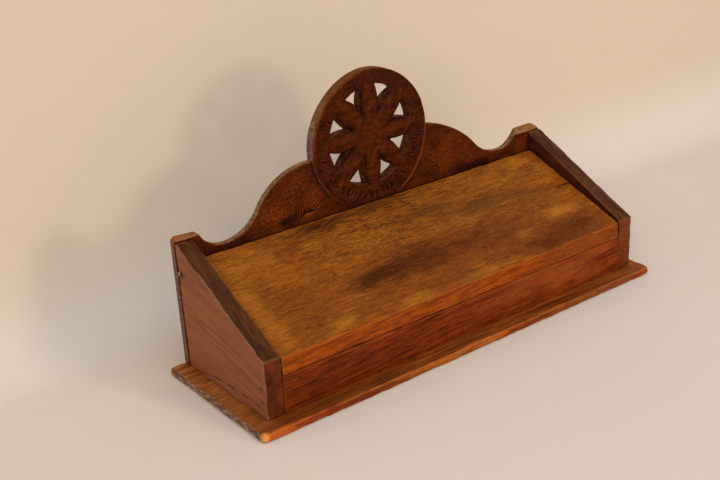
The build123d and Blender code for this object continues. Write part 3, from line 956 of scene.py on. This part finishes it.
def stroke_depth(spots, strokes):
    """The summed depth of strokes (start, middle, end, width, depth) at the spots.

    The line is start(1-t)^2 + 2 control t(1-t) + end t^2, whose control point makes it pass
    through the middle. Its depth fades as sin(pi t)^0.6, and across it as (1 - (d/w)^2)^2.
    """
    total = np.zeros(len(spots))
    t = np.linspace(0, 1, 17)[:, None]
    fade = np.sin(math.pi * np.linspace(0.04, 0.96, 17)) ** 0.6
    for start, middle, end, width, depth in strokes:
        start, middle, end = np.array(start), np.array(middle), np.array(end)
        control = 2 * middle - (start + end) / 2
        line = start * (1 - t) ** 2 + 2 * control * t * (1 - t) + end * t**2
        low = line.min(axis=0) - width
        high = line.max(axis=0) + width
        close = np.flatnonzero(((spots > low) & (spots < high)).all(axis=1))
        if not len(close):
            continue
        apart = np.linalg.norm(spots[close, None] - line[None], axis=2)
        best = apart.argmin(axis=1)
        across = apart[np.arange(len(close)), best] / width
        total[close] += depth * fade[best] * np.clip(1 - across**2, 0, 1) ** 2
    return total


def smooth_step(value, low, high):
    """0 below low, 1 above high and 3t^2 - 2t^3 between."""
    t = np.clip((value - low) / (high - low), 0, 1)
    return t * t * (3 - 2 * t)


# %% [markdown]
# ## The rosette disc
#
# The disc is a round plate that stands out in front of the wings. Eight openings leave a
# flower of eight smooth petals, whose tips run a little way over the ring. The ring round them
# is cut down and covered with short gouges that point at the centre. The openings were cut by
# hand, so each is a little turned, longer or wider than the next.

# %% Disc outline and openings
disc_radius = 41.25
disc_off_centre = 3.8
disc_x = (box_low[0] + box_high[0]) / 2 - disc_off_centre
disc_z = disc_high - disc_radius
rosette_lift = 2.6
rosette_z = disc_z + rosette_lift
disc_front_y = box_low[1]
disc_foot_z = lid_high[2] + 0.4  # the disc's thick part ends just above the lid
petals = 8
sector = 2 * math.pi / petals
opening_apex = 17.0
opening_reach = 29.5
opening_half = math.radians(13.5)
opening_swell = 1.1
opening_corner = 0.9  # how widely the opening's corners are eased
hand = np.random.default_rng(7)
opening_turn = np.radians(hand.uniform(-1.3, 1.3, petals))
opening_longer = hand.uniform(-0.4, 0.4, petals)
opening_wider = hand.uniform(-0.2, 0.5, petals)
opening_deeper = np.array([0.0, 0.3, 2.2, 0.4, 2.4, 0.8, 1.5, 1.0])  # clockwise from the top


def to_polar(spots, centre_z):
    """Radius and clockwise angle from straight up, about the disc's middle line."""
    dx = spots[:, 0] - disc_x
    dz = spots[:, 1] - centre_z
    return np.hypot(dx, dz), np.arctan2(dx, dz)


def opening_distance(spots):
    """How far a point lies outside the nearest opening; negative inside.

    In its own sector an opening is where r < reach and |u| < h(v), with h growing evenly from
    the apex and pinched in the middle by the swelling of the petals.
    """
    r, angle = to_polar(spots, rosette_z)
    which = np.floor(angle / sector).astype(int) % petals
    local = (angle % sector) - sector / 2 - opening_turn[which]
    u = np.abs(r * np.sin(local))
    v = r * np.cos(local)
    reach = opening_reach + opening_longer[which]
    wide = reach * math.sin(opening_half)
    apex = opening_apex - opening_deeper[which]
    rise = reach * math.cos(opening_half) - apex
    lean = np.arctan2(wide, rise)
    t = (v - apex) / rise
    pinch = opening_swell / np.cos(lean) * 4 * np.clip(t * (1 - t), 0, 1)
    half = wide * t - pinch + opening_wider[which] * smooth_step(t, 0, 0.5)
    side = (u - half) * np.cos(lean)
    top = r - reach
    blend = np.clip(0.5 + 0.5 * (side - top) / opening_corner, 0, 1)
    return top * (1 - blend) + side * blend + opening_corner * blend * (1 - blend)


def disc_outline(spots):
    """The disc's radius wanders by a fraction of a millimetre, and its foot is straight."""
    r, angle = to_polar(spots, disc_z)
    wander = 0.18 * np.sin(3 * angle + 0.6) + 0.12 * np.sin(5 * angle + 2.0) - 0.3
    return np.minimum(disc_radius + wander - r, spots[:, 1] - disc_foot_z)


def disc_distance(spots):
    """How far a point lies inside the disc's wood."""
    return np.minimum(disc_outline(spots), opening_distance(spots))


# %% The flower and the gouged ring
tip_radius = 33.6
tip_start = 27.0
ring_sunk = 0.35
gouge_count = 300
line_radius = 39.0
petal_half = 5.2  # half a petal's width, up to where its tip begins
petal_crown = 1.0  # how much lower a petal's sides lie than its middle line
gouge_centre_z = disc_z + 1.2


def ring_gouges():
    """Short gouges that point at the centre, closest and deepest in the lower half."""
    random = np.random.default_rng(21)
    strokes = []
    for _ in range(gouge_count):
        angle = random.uniform(-math.pi, math.pi)
        low_down = 0.5 - 0.5 * math.cos(angle)
        if random.uniform() > 0.35 + 0.65 * low_down:
            continue
        inner = random.uniform(30.3, 35.0)
        outer = inner + random.uniform(2.5, 5.0)
        lean = random.normal(0, 0.035)
        spots = [
            (disc_x + r * math.sin(angle + turn), gouge_centre_z + r * math.cos(angle + turn))
            for r, turn in ((inner, 0), ((inner + outer) / 2, lean / 2), (outer, lean))
        ]
        strokes.append((*spots, random.uniform(0.42, 0.7),
                        random.uniform(0.3, 0.55) * (0.55 + 0.6 * low_down)))
    return strokes


def rim_line():
    """A thin line cut round the lower left, just inside the disc's edge."""
    strokes = []
    for first in np.arange(-150, -98, 13):
        bend = [math.radians(first + share) for share in (0, 6.5, 13.5)]
        spots = [(disc_x + line_radius * math.sin(a), disc_z + line_radius * math.cos(a))
                 for a in bend]
        strokes.append((*spots, 0.6, 0.35))
    return strokes


def disc_depth(spots, d):
    """How deep the disc's front is cut at each spot: ring, petals, valleys and gouges."""
    r, angle = to_polar(spots, rosette_z)
    petal_angle = (angle + sector / 2) % sector - sector / 2
    across = np.abs(r * np.sin(petal_angle))
    past = np.clip((r - tip_start) / (tip_radius - tip_start), 0, 1)
    half = petal_half * np.sqrt(1 - past**1.7)
    on_petal = np.where(r < tip_start, 1, smooth_step(half - across, -2.2, 1.4))
    ground = 1 - on_petal
    crown = petal_crown * np.clip(across / 6.5, 0, 1) ** 1.4 * smooth_step(r, 9, 22) * on_petal
    near_hole = np.clip(opening_distance(spots), 0, None)
    soft = 0.7 * np.clip(1 - near_hole / 2.2, 0, 1) ** 2 * on_petal
    valley_share = np.abs(petal_angle) / (sector / 2)
    valley = 0.7 * smooth_step(r, 6.5, 15.5) * valley_share**3 * (r < opening_apex + 2)
    dish = 0.12 * np.exp(-(r / 6) ** 2)
    flat_spots = np.column_stack([spots, d * 0])
    tool = 0.1 * (1 + lumps(flat_spots, 3.2, 203)) + 0.12 * (1 + lumps(flat_spots, 9, 204))
    gouges = ring_gouges()
    cuts = np.minimum(stroke_depth(spots, gouges), 0.55) * ground
    ridges = np.minimum(stroke_depth(spots, [(*g[:3], g[3] * 2.2, g[4]) for g in gouges]), 0.6)
    line = stroke_depth(spots, rim_line())
    total = ring_sunk * ground + crown + soft + valley + dish + tool + cuts + line
    # dark: painted shade in the gouges, the rim line, the valleys, by the openings and on the
    # petals' sides; the sunk ring and the petals away from the middle are a little darker as well.
    dark = 0.9 * cuts + line + 0.12 * ground + 0.45 * valley + 0.3 * soft + 0.12 * crown
    dark = dark + 0.14 * smooth_step(r, 8, 24) * on_petal
    uneven = 0.5 + 0.5 * lumps(flat_spots, 5, 205)
    # high: on the petals partly rubbed wear and partly painted highlight; on the ridges beside the
    # gouges it is painted highlight.
    high = 0.28 * on_petal * (1 - soft / 0.7) * (1 - valley / 0.7) * uneven
    high = high + ground * np.clip(1.5 * ridges - 2.4 * cuts, 0, 1) * (0.4 + 0.6 * uneven)
    return total, dark, np.clip(high, 0, 1)


# %% Making the disc
fine = 0.38
disc_xs = np.arange(disc_x - disc_radius - 1, disc_x + disc_radius + 1.2, fine)
disc_zs = np.arange(disc_foot_z, disc_z + disc_radius + 1.2, fine)
points, faces, marks = slab(disc_distance, disc_xs, disc_zs, disc_front_y, back_y, disc_depth,
                            0.7, 211)
# Painted highlights along the disc's front edge: at the lower right, the upper left and the lower
# left.
r, angle = to_polar(points[:, [0, 2]], disc_z)
clockwise = np.degrees(angle)
lower_right = smooth_step(clockwise, 82, 96) * (1 - smooth_step(clockwise, 140, 160))
upper_left = smooth_step(-clockwise, 8, 25) * (1 - smooth_step(-clockwise, 80, 105))
lower_left = smooth_step(-clockwise, 108, 118) * (1 - smooth_step(-clockwise, 142, 152))
at_front = points[:, 1] < disc_front_y + 2
marks["painted_rim_highlight"] = at_front * (
    0.6 * lower_right * smooth_step(r, disc_radius - 2.6, disc_radius - 1.2)
    + 0.35 * upper_left * smooth_step(r, disc_radius - 1.5, disc_radius - 0.9)
    + 0.25 * lower_left * smooth_step(r, disc_radius - 1.6, disc_radius - 0.8))
# Marks the middle of the disc, whose walls round the openings get painted shade.
marks["low"] = (r < opening_reach + 6).astype(float)
make_piece("rosette_disc", points, faces, "box", "carved_back", carved_wood, marks)

# %% [markdown]
# ## The wings
#
# Behind the box the carved board runs from end to end. Above the lid its top line sinks from
# each end into a dip and climbs in a long double curve to the disc. The curve is made of arcs:
# one sweeps from the dip out to the end, and two meet in the climb. Its height is needed at
# every x, so each arc gives z from x by the circle's equation. Over each end the board's front
# is planed off, so that the end's sloping top runs on to the rear edge.

# %% The wings' outline
# end: x of the outer face. dip_in, dip_up: the dip's place, in from the end and up from the lid.
# crest_out, crest_down: the top of the climb, out from the disc's middle and down from there.
# share: the upper arc's part of the climb. sweep: radius of the arc that goes out from the dip.
# lift, rise: where the nearly level stretch begins and ends, up from the end board's top.
# soft: how widely the arc and that stretch are blended. tip: radius of the outer corner.
wing_sides = {
    "left": {"sign": -1, "end": left_low[0], "dip_in": 30.8, "dip_up": 2.0, "crest_out": 43.2,
             "crest_down": 3.7, "share": 0.61, "sweep": 17.2, "rise": 2.1, "lift": 1.1,
             "soft": 3.0, "tip": 3.0},
    "right": {"sign": 1, "end": right_high[0], "dip_in": 35.3, "dip_up": 5.0, "crest_out": 31.2,
              "crest_down": 0.1, "share": 0.71, "sweep": 15.6, "rise": 3.4, "lift": 3.3,
              "soft": 6.0, "tip": 6.5},
}
corner_z = table_z + back_height


def wing_top(x):
    """The top line's height at x, from three arcs, a nearly level stretch and a round tip."""
    height = np.zeros(len(x))
    for name, wing in wing_sides.items():
        here = (x < disc_x) == (name == "left")
        out = (x[here] - disc_x) * wing["sign"]
        dip = (wing["end"] - disc_x) * wing["sign"] - wing["dip_in"]
        dip_z = lid_high[2] + wing["dip_up"]
        crest_z = disc_z - wing["crest_down"]
        span = dip - wing["crest_out"]
        rise = crest_z - dip_z
        both = (span**2 + rise**2) / (2 * rise)
        crest_r = both * wing["share"]
        dip_r = both - crest_r
        meet = wing["crest_out"] + crest_r * span / both
        on_crest = crest_z - sag(crest_r, out - wing["crest_out"])
        on_dip = dip_z + sag(dip_r, dip - out)
        sweep = wing["sweep"]
        on_sweep = dip_z + sag(sweep, out - dip)
        reach = math.sqrt(sweep**2 - (sweep - (corner_z + wing["lift"] - dip_z)) ** 2)
        share = np.clip((out - dip - reach) / (wing["dip_in"] - reach), 0, 1)
        on_stretch = corner_z + wing["lift"] + (wing["rise"] - wing["lift"]) * share
        mix = np.clip(0.5 + 0.5 * (on_stretch - on_sweep) / wing["soft"], 0, 1)
        eased = on_stretch * (1 - mix) + on_sweep * mix - wing["soft"] * mix * (1 - mix)
        z = np.where(out < meet, on_crest, np.where(out < dip, on_dip, eased))
        tip = wing["tip"]
        from_end = dip + wing["dip_in"] - out
        on_tip = corner_z + wing["rise"] - sag(tip, tip - from_end)
        height[here] = np.where(from_end < tip, np.minimum(z, on_tip), z)
    return height


rear_edge = 1.5  # thickness left at the rear, where the edges are eased as well


def end_bevel(spots):
    """How deep the front is planed over the ends: from their tops up to the rear edge."""
    deep = np.zeros(len(spots))
    for wing in wing_sides.values():
        here = (spots[:, 0] - wing["end"]) * wing["sign"] > -wing["dip_in"]
        up = np.clip(spots[:, 1] - corner_z, 0, wing["rise"])
        deep += here * up / wing["rise"] * (back_y - back_front_y - rear_edge)
    return deep


def wing_distance(spots):
    """How far a point lies inside the wings: below the top line and outside the disc."""
    x = spots[:, 0]
    near = 0.3
    steep = (wing_top(x + near) - wing_top(x - near)) / (2 * near)
    below = (wing_top(x) - spots[:, 1]) / np.sqrt(1 + steep**2)
    r, _ = to_polar(spots, disc_z)
    off_disc = np.maximum(r - (disc_radius - 1.2), disc_foot_z + 1.2 - spots[:, 1])
    sides = np.minimum(x - box_low[0], box_high[0] - x)
    return np.minimum.reduce([below, off_disc, sides, spots[:, 1] - box_low[2]])


# %% [markdown]
# ## The carving on the wings
#
# Both wings carry free leaf carving, not a pattern: on the left a bundle of upright wavy cuts,
# a fan that opens towards the disc and nested arcs above them, and on the right long cuts that
# run down from the disc, a row of upright cuts and one small curl. The places below were read
# from the photograph, in millimetres from the middle of the box and above the base board.

# %% Strokes on the wings
box_middle = (left_low[0] + right_high[0]) / 2


def on_wing(x, z):
    """A point given from the middle of the box and above the base board's top."""
    return (x + box_middle, z + table_z)


def stroke(start, middle, end, width, depth):
    """A stroke through three points given as for on_wing."""
    return (on_wing(*start), on_wing(*middle), on_wing(*end), width, depth)


def arc_stroke(centre, radius, first, last, width, depth):
    """A stroke along part of a circle, with angles in degrees from the X axis."""
    bend = [math.radians(first + share * (last - first)) for share in (0, 0.5, 1)]
    spots = [(centre[0] + radius * math.cos(a), centre[1] + radius * math.sin(a)) for a in bend]
    return stroke(*spots, width, depth)


def left_wing_strokes():
    """Upright bundle, fan, nested arcs with hatching, and short specks."""
    random = np.random.default_rng(31)
    strokes = []
    for index in range(4):
        x = -59.2 + 1.9 * index
        strokes.append(stroke((x, 61.5), (x + 0.9, 69.5), (x - 1.4, 79 - index), 0.62, 0.5))
    for index in range(6):
        low = (-55 + 0.8 * index, 63.5 + 0.5 * index)
        middle = (-50.6 + 1.0 * index, 70.0 - 0.9 * index)
        high = (-44.5 + 0.9 * index, 79 - 2.6 * index)
        strokes.append(stroke(low, middle, high, 0.75, 0.42))
    for radius in np.arange(7.5, 28, 1.45):
        for first in np.arange(48, 166, 260 / radius):
            start = first + random.uniform(-4, 4)
            strokes.append(arc_stroke((-57, 69), radius + random.uniform(-0.3, 0.3), start,
                                      start + random.uniform(150, 300) / radius, 0.5,
                                      random.uniform(0.1, 0.34)))
    for _ in range(70):
        x = random.uniform(-90, -64)
        z = random.uniform(62, 84)
        lean = random.uniform(-0.6, 1.6)
        strokes.append(stroke((x, z), (x + 0.8, z + lean / 2), (x + 2.0, z + lean), 0.5,
                              random.uniform(0.1, 0.25)))
    for x in np.arange(-116, -86, 3.1):
        strokes.append(stroke((x, 61.5), (x + 1, 62.3), (x + 2.6, 62.6), 0.6, 0.18))
    return strokes


def right_wing_strokes():
    """Long cuts down from the disc, an upright row, a curl and faint nested arcs."""
    random = np.random.default_rng(33)
    strokes = [
        stroke((37, 82), (45, 77.5), (54, 71.5), 0.6, 0.4),
        stroke((38, 79.5), (44, 75), (50.5, 68.5), 0.55, 0.3),
        stroke((39, 74.5), (44, 71), (49, 65), 0.55, 0.25),
        arc_stroke((44.3, 64.9), 4.3, -30, 110, 0.7, 0.5),
        arc_stroke((44.3, 64.9), 2.6, -20, 120, 0.6, 0.3),
    ]
    for x, top, depth in ((50.2, 76, 0.35), (52.6, 77.5, 0.5), (55.1, 78, 0.5), (57.5, 76.5, 0.45),
                          (59.6, 74.5, 0.4), (62.1, 73, 0.4), (64.6, 71, 0.35), (69.6, 67, 0.4),
                          (71.6, 66.5, 0.35)):
        strokes.append(stroke((x + 0.7, 62), (x + 0.3, 69), (x - 0.8, top), 0.55, depth * 0.8))
    for radius in np.arange(8, 24, 3.2):
        strokes.append(arc_stroke((57, 70), radius, 35, 92, 0.6, 0.16))
        strokes.append(arc_stroke((57, 70), radius + 1.5, 95, 140, 0.6, 0.14))
    for _ in range(70):
        x = random.uniform(38, 84)
        z = random.uniform(62, 90)
        fall = random.uniform(0.4, 2.0)
        strokes.append(stroke((x, z), (x + 1.2, z - fall / 2), (x + 3.0, z - fall), 0.45,
                              random.uniform(0.08, 0.2)))
    for x in np.arange(78, 100, 4.2):
        strokes.append(stroke((x, 62.5), (x + 1.5, 63.5), (x + 3.5, 63.8), 0.6, 0.15))
    return strokes


wing_strokes = left_wing_strokes() + right_wing_strokes()
hinge = np.array(frame["joints"][0]["pos_m"]) / MM
pin_y, pin_z = hinge[1:]
cove_gap = 0.35
cove_radius = math.hypot(lid_high[1] - pin_y, lid_high[2] - pin_z) + cove_gap
print("strokes on the wings", len(wing_strokes), "cove radius", round(cove_radius, 2))

# Lighter places on the wings, partly rubbed wear and partly painted highlight, and places of
# painted shade: x from the middle, z above the base, (across, up), share
warm_spots = ((-72, 70, (13, 8), 0.65), (-58, 84, (11, 6), 0.45), (-46, 70, (6, 8), 0.4),
              (-49, 64, (2.2, 1.0), 1.0), (55, 78, (16, 9), 0.35), (53, 68, (5, 6), 0.45),
              (73, 68, (14, 5), 0.4), (118, 66, (7, 5), 0.35))
shady_spots = ((-65, 64, (5, 3), 0.5), (-58, 66, (3, 6), 0.25), (66, 63, (7, 5), 0.35),
               (82, 61.5, (12, 2.6), 0.5), (-100, 61.5, (16, 1.6), 0.25))


def mounds(spots, table):
    """The sum of share exp(-(dx / across)^2 - (dz / up)^2) over the places in a table."""
    return sum(share * np.exp(-(((spots - on_wing(x, z)) / size) ** 2).sum(axis=1))
               for x, z, size, share in table)


def wing_depth(spots, d):
    """How deep the wings' front is cut: the strokes, a sunk ground and marks of the tool."""
    shown = smooth_step(spots[:, 1], lid_high[2] - 6, lid_high[2] - 2)
    flat_spots = np.column_stack([spots, d * 0])
    tool = 0.07 * (1 + lumps(flat_spots, 5, 303))
    wave = 0.15 * (1 + lumps(flat_spots * [1, 1.4, 1], 17, 304)) / 2
    tall = np.abs(spots[:, 1] - pin_z)
    cove = pin_y + np.sqrt(np.maximum(cove_radius**2 - tall**2, 0)) - back_front_y
    under_lid = (spots[:, 0] > inner_left - 1) & (spots[:, 0] < inner_right + 1)
    narrow = stroke_depth(spots, wing_strokes)
    wide = stroke_depth(spots, [(*s[:3], s[3] * 2.4, s[4]) for s in wing_strokes])
    strokes = np.minimum(1.6 * narrow, 0.9)
    ridges = np.clip(1.9 * wide - 2.0 * strokes, 0, 1)
    total = (strokes - 0.25 * ridges + tool + wave + 0.25) * shown
    uneven = 0.5 + 0.5 * lumps(flat_spots, 9, 305)
    flecks = 0.5 + 0.5 * lumps(flat_spots * [1, 1.8, 1], 2.4, 306)
    warm = mounds(spots, warm_spots)
    shady = mounds(spots, shady_spots)
    # high: partly rubbed wear and partly painted highlight, on the ridges beside the strokes as
    # well; dark: painted shade in the strokes and in the shady places.
    high = 0.2 * uneven + warm * (0.3 + 0.7 * flecks) + 0.55 * ridges - 0.8 * strokes
    dark = 0.8 * strokes + shady * (0.6 + 0.4 * flecks)
    bevel = end_bevel(spots)
    total = total * (bevel == 0) + bevel
    return (total + np.maximum(cove, 0) * under_lid, dark * shown,
            np.clip(high - 0.8 * shady, 0, 1) * shown)


# %% Making the wings
coarse_zs = np.linspace(box_low[2], lid_high[2] - 8, 18)
fine_zs = np.arange(lid_high[2] - 7.4, disc_z + 1.5, 0.52)
wing_xs = np.linspace(box_low[0], box_high[0], 500)
points, faces, marks = slab(wing_distance, wing_xs, np.concatenate([coarse_zs, fine_zs]),
                            back_front_y, back_y - 0.04, wing_depth, 0.7, 311)
on_bevel = (end_bevel(points[:, [0, 2]]) > 0) & (points[:, 1] < back_y - 0.5)
for key in ("rim", "up"):
    marks[key][on_bevel] = 1
for key in ("painted_rim_highlight", "low"):
    marks[key] = np.zeros(len(points))
make_piece("back_wings", points, faces, "box", "carved_back", carved_wood, marks)

# %% [markdown]
# ## Inkwells and stoppers
#
# An inkwell is a thick glass block with rounded corners that turns into a round neck. One
# profile runs up the outside, over the lip and down the inside. At each step it is drawn round
# a cross-section between a rounded square and a circle: |x/a|^n + |y/b|^n = 1, where n is high
# for the square body and 2 for the neck. The stopper is the same with n = 2 all the way.

# %% A profile carried round


def turned(profile, centre, around=72):
    """A closed form round centre (x, y): profile rows are (half length, half width, n, z).

    At angle a the radius is 1 / (|cos a / half length|^n + |sin a / half width|^n)^(1/n). The
    first and last rows shrink to points.
    """
    rows = np.array(profile, float)
    angle = np.arange(around) * 2 * math.pi / around
    n = rows[1:-1, 2][:, None]
    size = (np.abs(np.cos(angle) / rows[1:-1, 0][:, None]) ** n
            + np.abs(np.sin(angle) / rows[1:-1, 1][:, None]) ** n) ** (-1 / n)
    x = centre[0] + size * np.cos(angle)
    y = centre[1] + size * np.sin(angle)
    z = np.repeat(rows[1:-1, 3][:, None], around, axis=1)
    ring = np.stack([x, y, z], -1).reshape(-1, 3)
    points = np.concatenate([ring, [(*centre, rows[0, 3]), (*centre, rows[-1, 3])]])
    count = len(rows) - 2
    index = np.arange(count * around).reshape(count, around)
    following = np.roll(index, -1, axis=1)
    faces = np.stack([index[:-1], following[:-1], following[1:], index[1:]], -1).reshape(-1, 4)
    first, last = len(ring), len(ring) + 1
    caps = [[first, b, a] for a, b in zip(index[0], following[0])]
    caps += [[last, a, b] for a, b in zip(index[-1], following[-1])]
    return points, faces.tolist() + caps


def circle(radius, z):
    """A profile row whose cross-section is round."""
    return (radius, radius, 2, z)


def rounded(points):
    """A profile with its corners eased: each corner is cut twice by quarter points."""
    rows = np.array(points, float)
    for _ in range(2):
        inner = np.empty((2 * len(rows) - 2, rows.shape[1]))
        inner[0::2] = rows[:-1] * 0.75 + rows[1:] * 0.25
        inner[1::2] = rows[:-1] * 0.25 + rows[1:] * 0.75
        rows = np.concatenate([rows[:1], inner, rows[-1:]])
    return rows


# %% The two inkwells and their stoppers
well_wall = 3.5
well_floor = 4.0
neck_radius = 10.0
neck_bore = 6.5
neck_height = 5.0
for side in ("left", "right"):
    low, high = corners_mm(f"{side}_inkwell")
    middle = (low + high) / 2
    a, b = (high - low)[:2] / 2
    foot, lip = low[2], high[2]
    shoulder = lip - neck_height
    body = 8.0
    outside = [
        (0, 0, body, foot), (a - 1.5, b - 1.5, body, foot), (a, b, body, foot),
        (a, b, body, foot + 1.5), (a, b, body, shoulder - 3), (a, b, body, shoulder),
        (a - 3, b - 3, 5, shoulder), circle(neck_radius, shoulder),
        circle(neck_radius, shoulder + 0.8), circle(neck_radius, lip),
    ]
    inside = [
        circle(neck_bore, lip), circle(neck_bore, shoulder - well_wall),
        (a - well_wall, b - well_wall, 5, shoulder - well_wall),
        (a - well_wall, b - well_wall, body, shoulder - well_wall - 3),
        (a - well_wall, b - well_wall, body, foot + well_floor),
        (0, 0, body, foot + well_floor),
    ]
    points, faces = turned(rounded(outside + inside), middle[:2])
    make_piece(f"{side}_glass_inkwell", points, faces, "box", f"{side}_inkwell",
               glass)
    low, high = corners_mm(f"{side}_stopper")
    middle = (low + high) / 2
    cap = (high[0] - low[0]) / 2
    plug = neck_bore - 0.1
    top = high[2]
    profile = [
        circle(0, low[2]), circle(plug, low[2]), circle(plug, lip - 0.3),
        circle(cap - 0.4, lip + 0.02), circle(cap, lip + 0.8), circle(cap, lip + 2.2),
        circle(cap - 1.6, top - 0.9), circle(3.4, top - 0.9), circle(2.6, top - 0.2),
        circle(1.2, top), circle(0, top),
    ]
    points, faces = turned(rounded(profile), middle[:2], 48)
    make_piece(f"{side}_turned_stopper", points, faces, "box", f"{side}_stopper",
               stopper_wood)

# %% [markdown]
# ## Floor, backdrop and light
#
# The stand-in for a studio is a pale floor and a sheet that curves up out of it behind. From
# behind that sheet is clear, so that the object can be looked at from all sides. One warm lamp
# stands low to the right of the front and throws the long shadow. A weaker warm one stands to
# the left, a large pale one hangs above, and the rest is the even light of the world.

# %% Backdrop
wall_y = 132.0
bend_radius = 60.0
sheet_half = 1400.0
sheet_top = 900.0
turns = np.linspace(0, math.pi / 2, 25)
bend_y = wall_y - bend_radius + bend_radius * np.sin(turns)
bend_z = bend_radius - bend_radius * np.cos(turns)
above_floor = 0.05


def stage_sheet(name, profile):
    """A sheet as wide as the stage along a profile of (y, z), in millimetres."""
    points = [(x, y, z) for y, z in profile for x in (-sheet_half, sheet_half)]
    faces = [(2 * i, 2 * i + 1, 2 * i + 3, 2 * i + 2) for i in range(len(profile) - 1)]
    mesh = bpy.data.meshes.new(name)
    mesh.from_pydata((np.array(points) * MM).tolist(), [], faces)
    mesh.polygons.foreach_set("use_smooth", [True] * len(mesh.polygons))
    made = bpy.data.objects.new(name, mesh)
    bpy.context.collection.objects.link(made)
    return mesh


floor = stage_sheet("floor", [(-sheet_half, 0.0), (sheet_half, 0.0)])
wall_line = list(zip(bend_y, bend_z + above_floor)) + [(wall_y, sheet_top)]
wall = stage_sheet("backdrop", wall_line)


def background_rays(wire):
    """1 for the rays that show the background: to the camera, mirrored or through glass."""
    kinds = ("Is Camera Ray", "Is Glossy Ray", "Is Transmission Ray")
    to_camera, mirrored, through = (wire.node("ShaderNodeLightPath", output=one) for one in kinds)
    return to_camera + mirrored + through


paper = bpy.data.materials.new("paper")
paper_wire = empty_tree(paper)
paper_space = piece_space(paper_wire)
cloud = noise(paper_space, (220, 220, 220), 2.0, 0.5, seed=401)
floor_colour = tint((232, 226, 219), (226, 219, 211), cloud)
on_wall = band(heights(paper_space), 0, bend_radius)
paper_colour = tint(floor_colour, (224, 203, 182), on_wall)
diffuse = paper_wire.node("ShaderNodeBsdfDiffuse", inputs={"Color": paper_colour})
glowing = paper_wire.node("ShaderNodeEmission", inputs={"Color": colour(212, 196, 176)})
wall_glow = background_rays(paper_wire) * on_wall * 0.42
lit = paper_wire.node("ShaderNodeMixShader", inputs={0: wall_glow, 1: diffuse, 2: glowing})
clear = paper_wire.node("ShaderNodeBsdfTransparent")
behind = paper_wire.node("ShaderNodeNewGeometry", output="Backfacing")
seen = paper_wire.node("ShaderNodeMixShader", inputs={0: behind, 1: lit, 2: clear})
paper_wire.node("ShaderNodeOutputMaterial", inputs={"Surface": seen})
for mesh in (floor, wall):
    mesh.materials.append(paper)
print("backdrop", wall_y, "mm behind the middle")

# %% Lamps and world
aim = np.array([0.0, 0.0, 60.0])


def lamp(name, azimuth, elevation, distance, size, level, tone):
    """A square lamp seen from the object at an azimuth to the right of the front.

    Its power is chosen so that white facing it renders as level: pi^2 distance^2 level.
    """
    turn = math.radians(azimuth)
    rise = math.radians(elevation)
    towards = np.array([math.sin(turn) * math.cos(rise), -math.cos(turn) * math.cos(rise),
                        math.sin(rise)])
    data = bpy.data.lights.new(name, "AREA")
    data.size = size * MM
    data.energy = math.pi**2 * (distance * MM) ** 2 * level
    data.color = tone
    made = bpy.data.objects.new(name, data)
    side = np.cross([0, 0, 1], towards)
    side /= np.linalg.norm(side)
    made.matrix_world = matrix_from(side, np.cross(towards, side), towards,
                                    aim + towards * distance)
    bpy.context.collection.objects.link(made)
    print(name, "lamp", round(data.energy, 2), "W")


lamp("key", 18, 10, 1300, 240, 0.36, (1.0, 0.79, 0.56))
lamp("side", -52, 20, 1200, 300, 0.16, (1.0, 0.84, 0.68))
lamp("above", 10, 62, 1300, 900, 0.27, (1.0, 0.97, 0.94))
sky = bpy.data.worlds.new("sky")
sky_wire = empty_tree(sky)
light = sky_wire.node("ShaderNodeBackground", inputs={"Color": (0.95, 0.98, 1.0, 1.0),
                                                      "Strength": 0.42})
shown = sky_wire.node("ShaderNodeBackground", inputs={"Color": colour(226, 212, 196)})
looked_at = background_rays(sky_wire)
either = sky_wire.node("ShaderNodeMixShader", inputs={0: looked_at, 1: light, 2: shown})
sky_wire.node("ShaderNodeOutputWorld", inputs={"Surface": either})
bpy.context.scene.world = sky
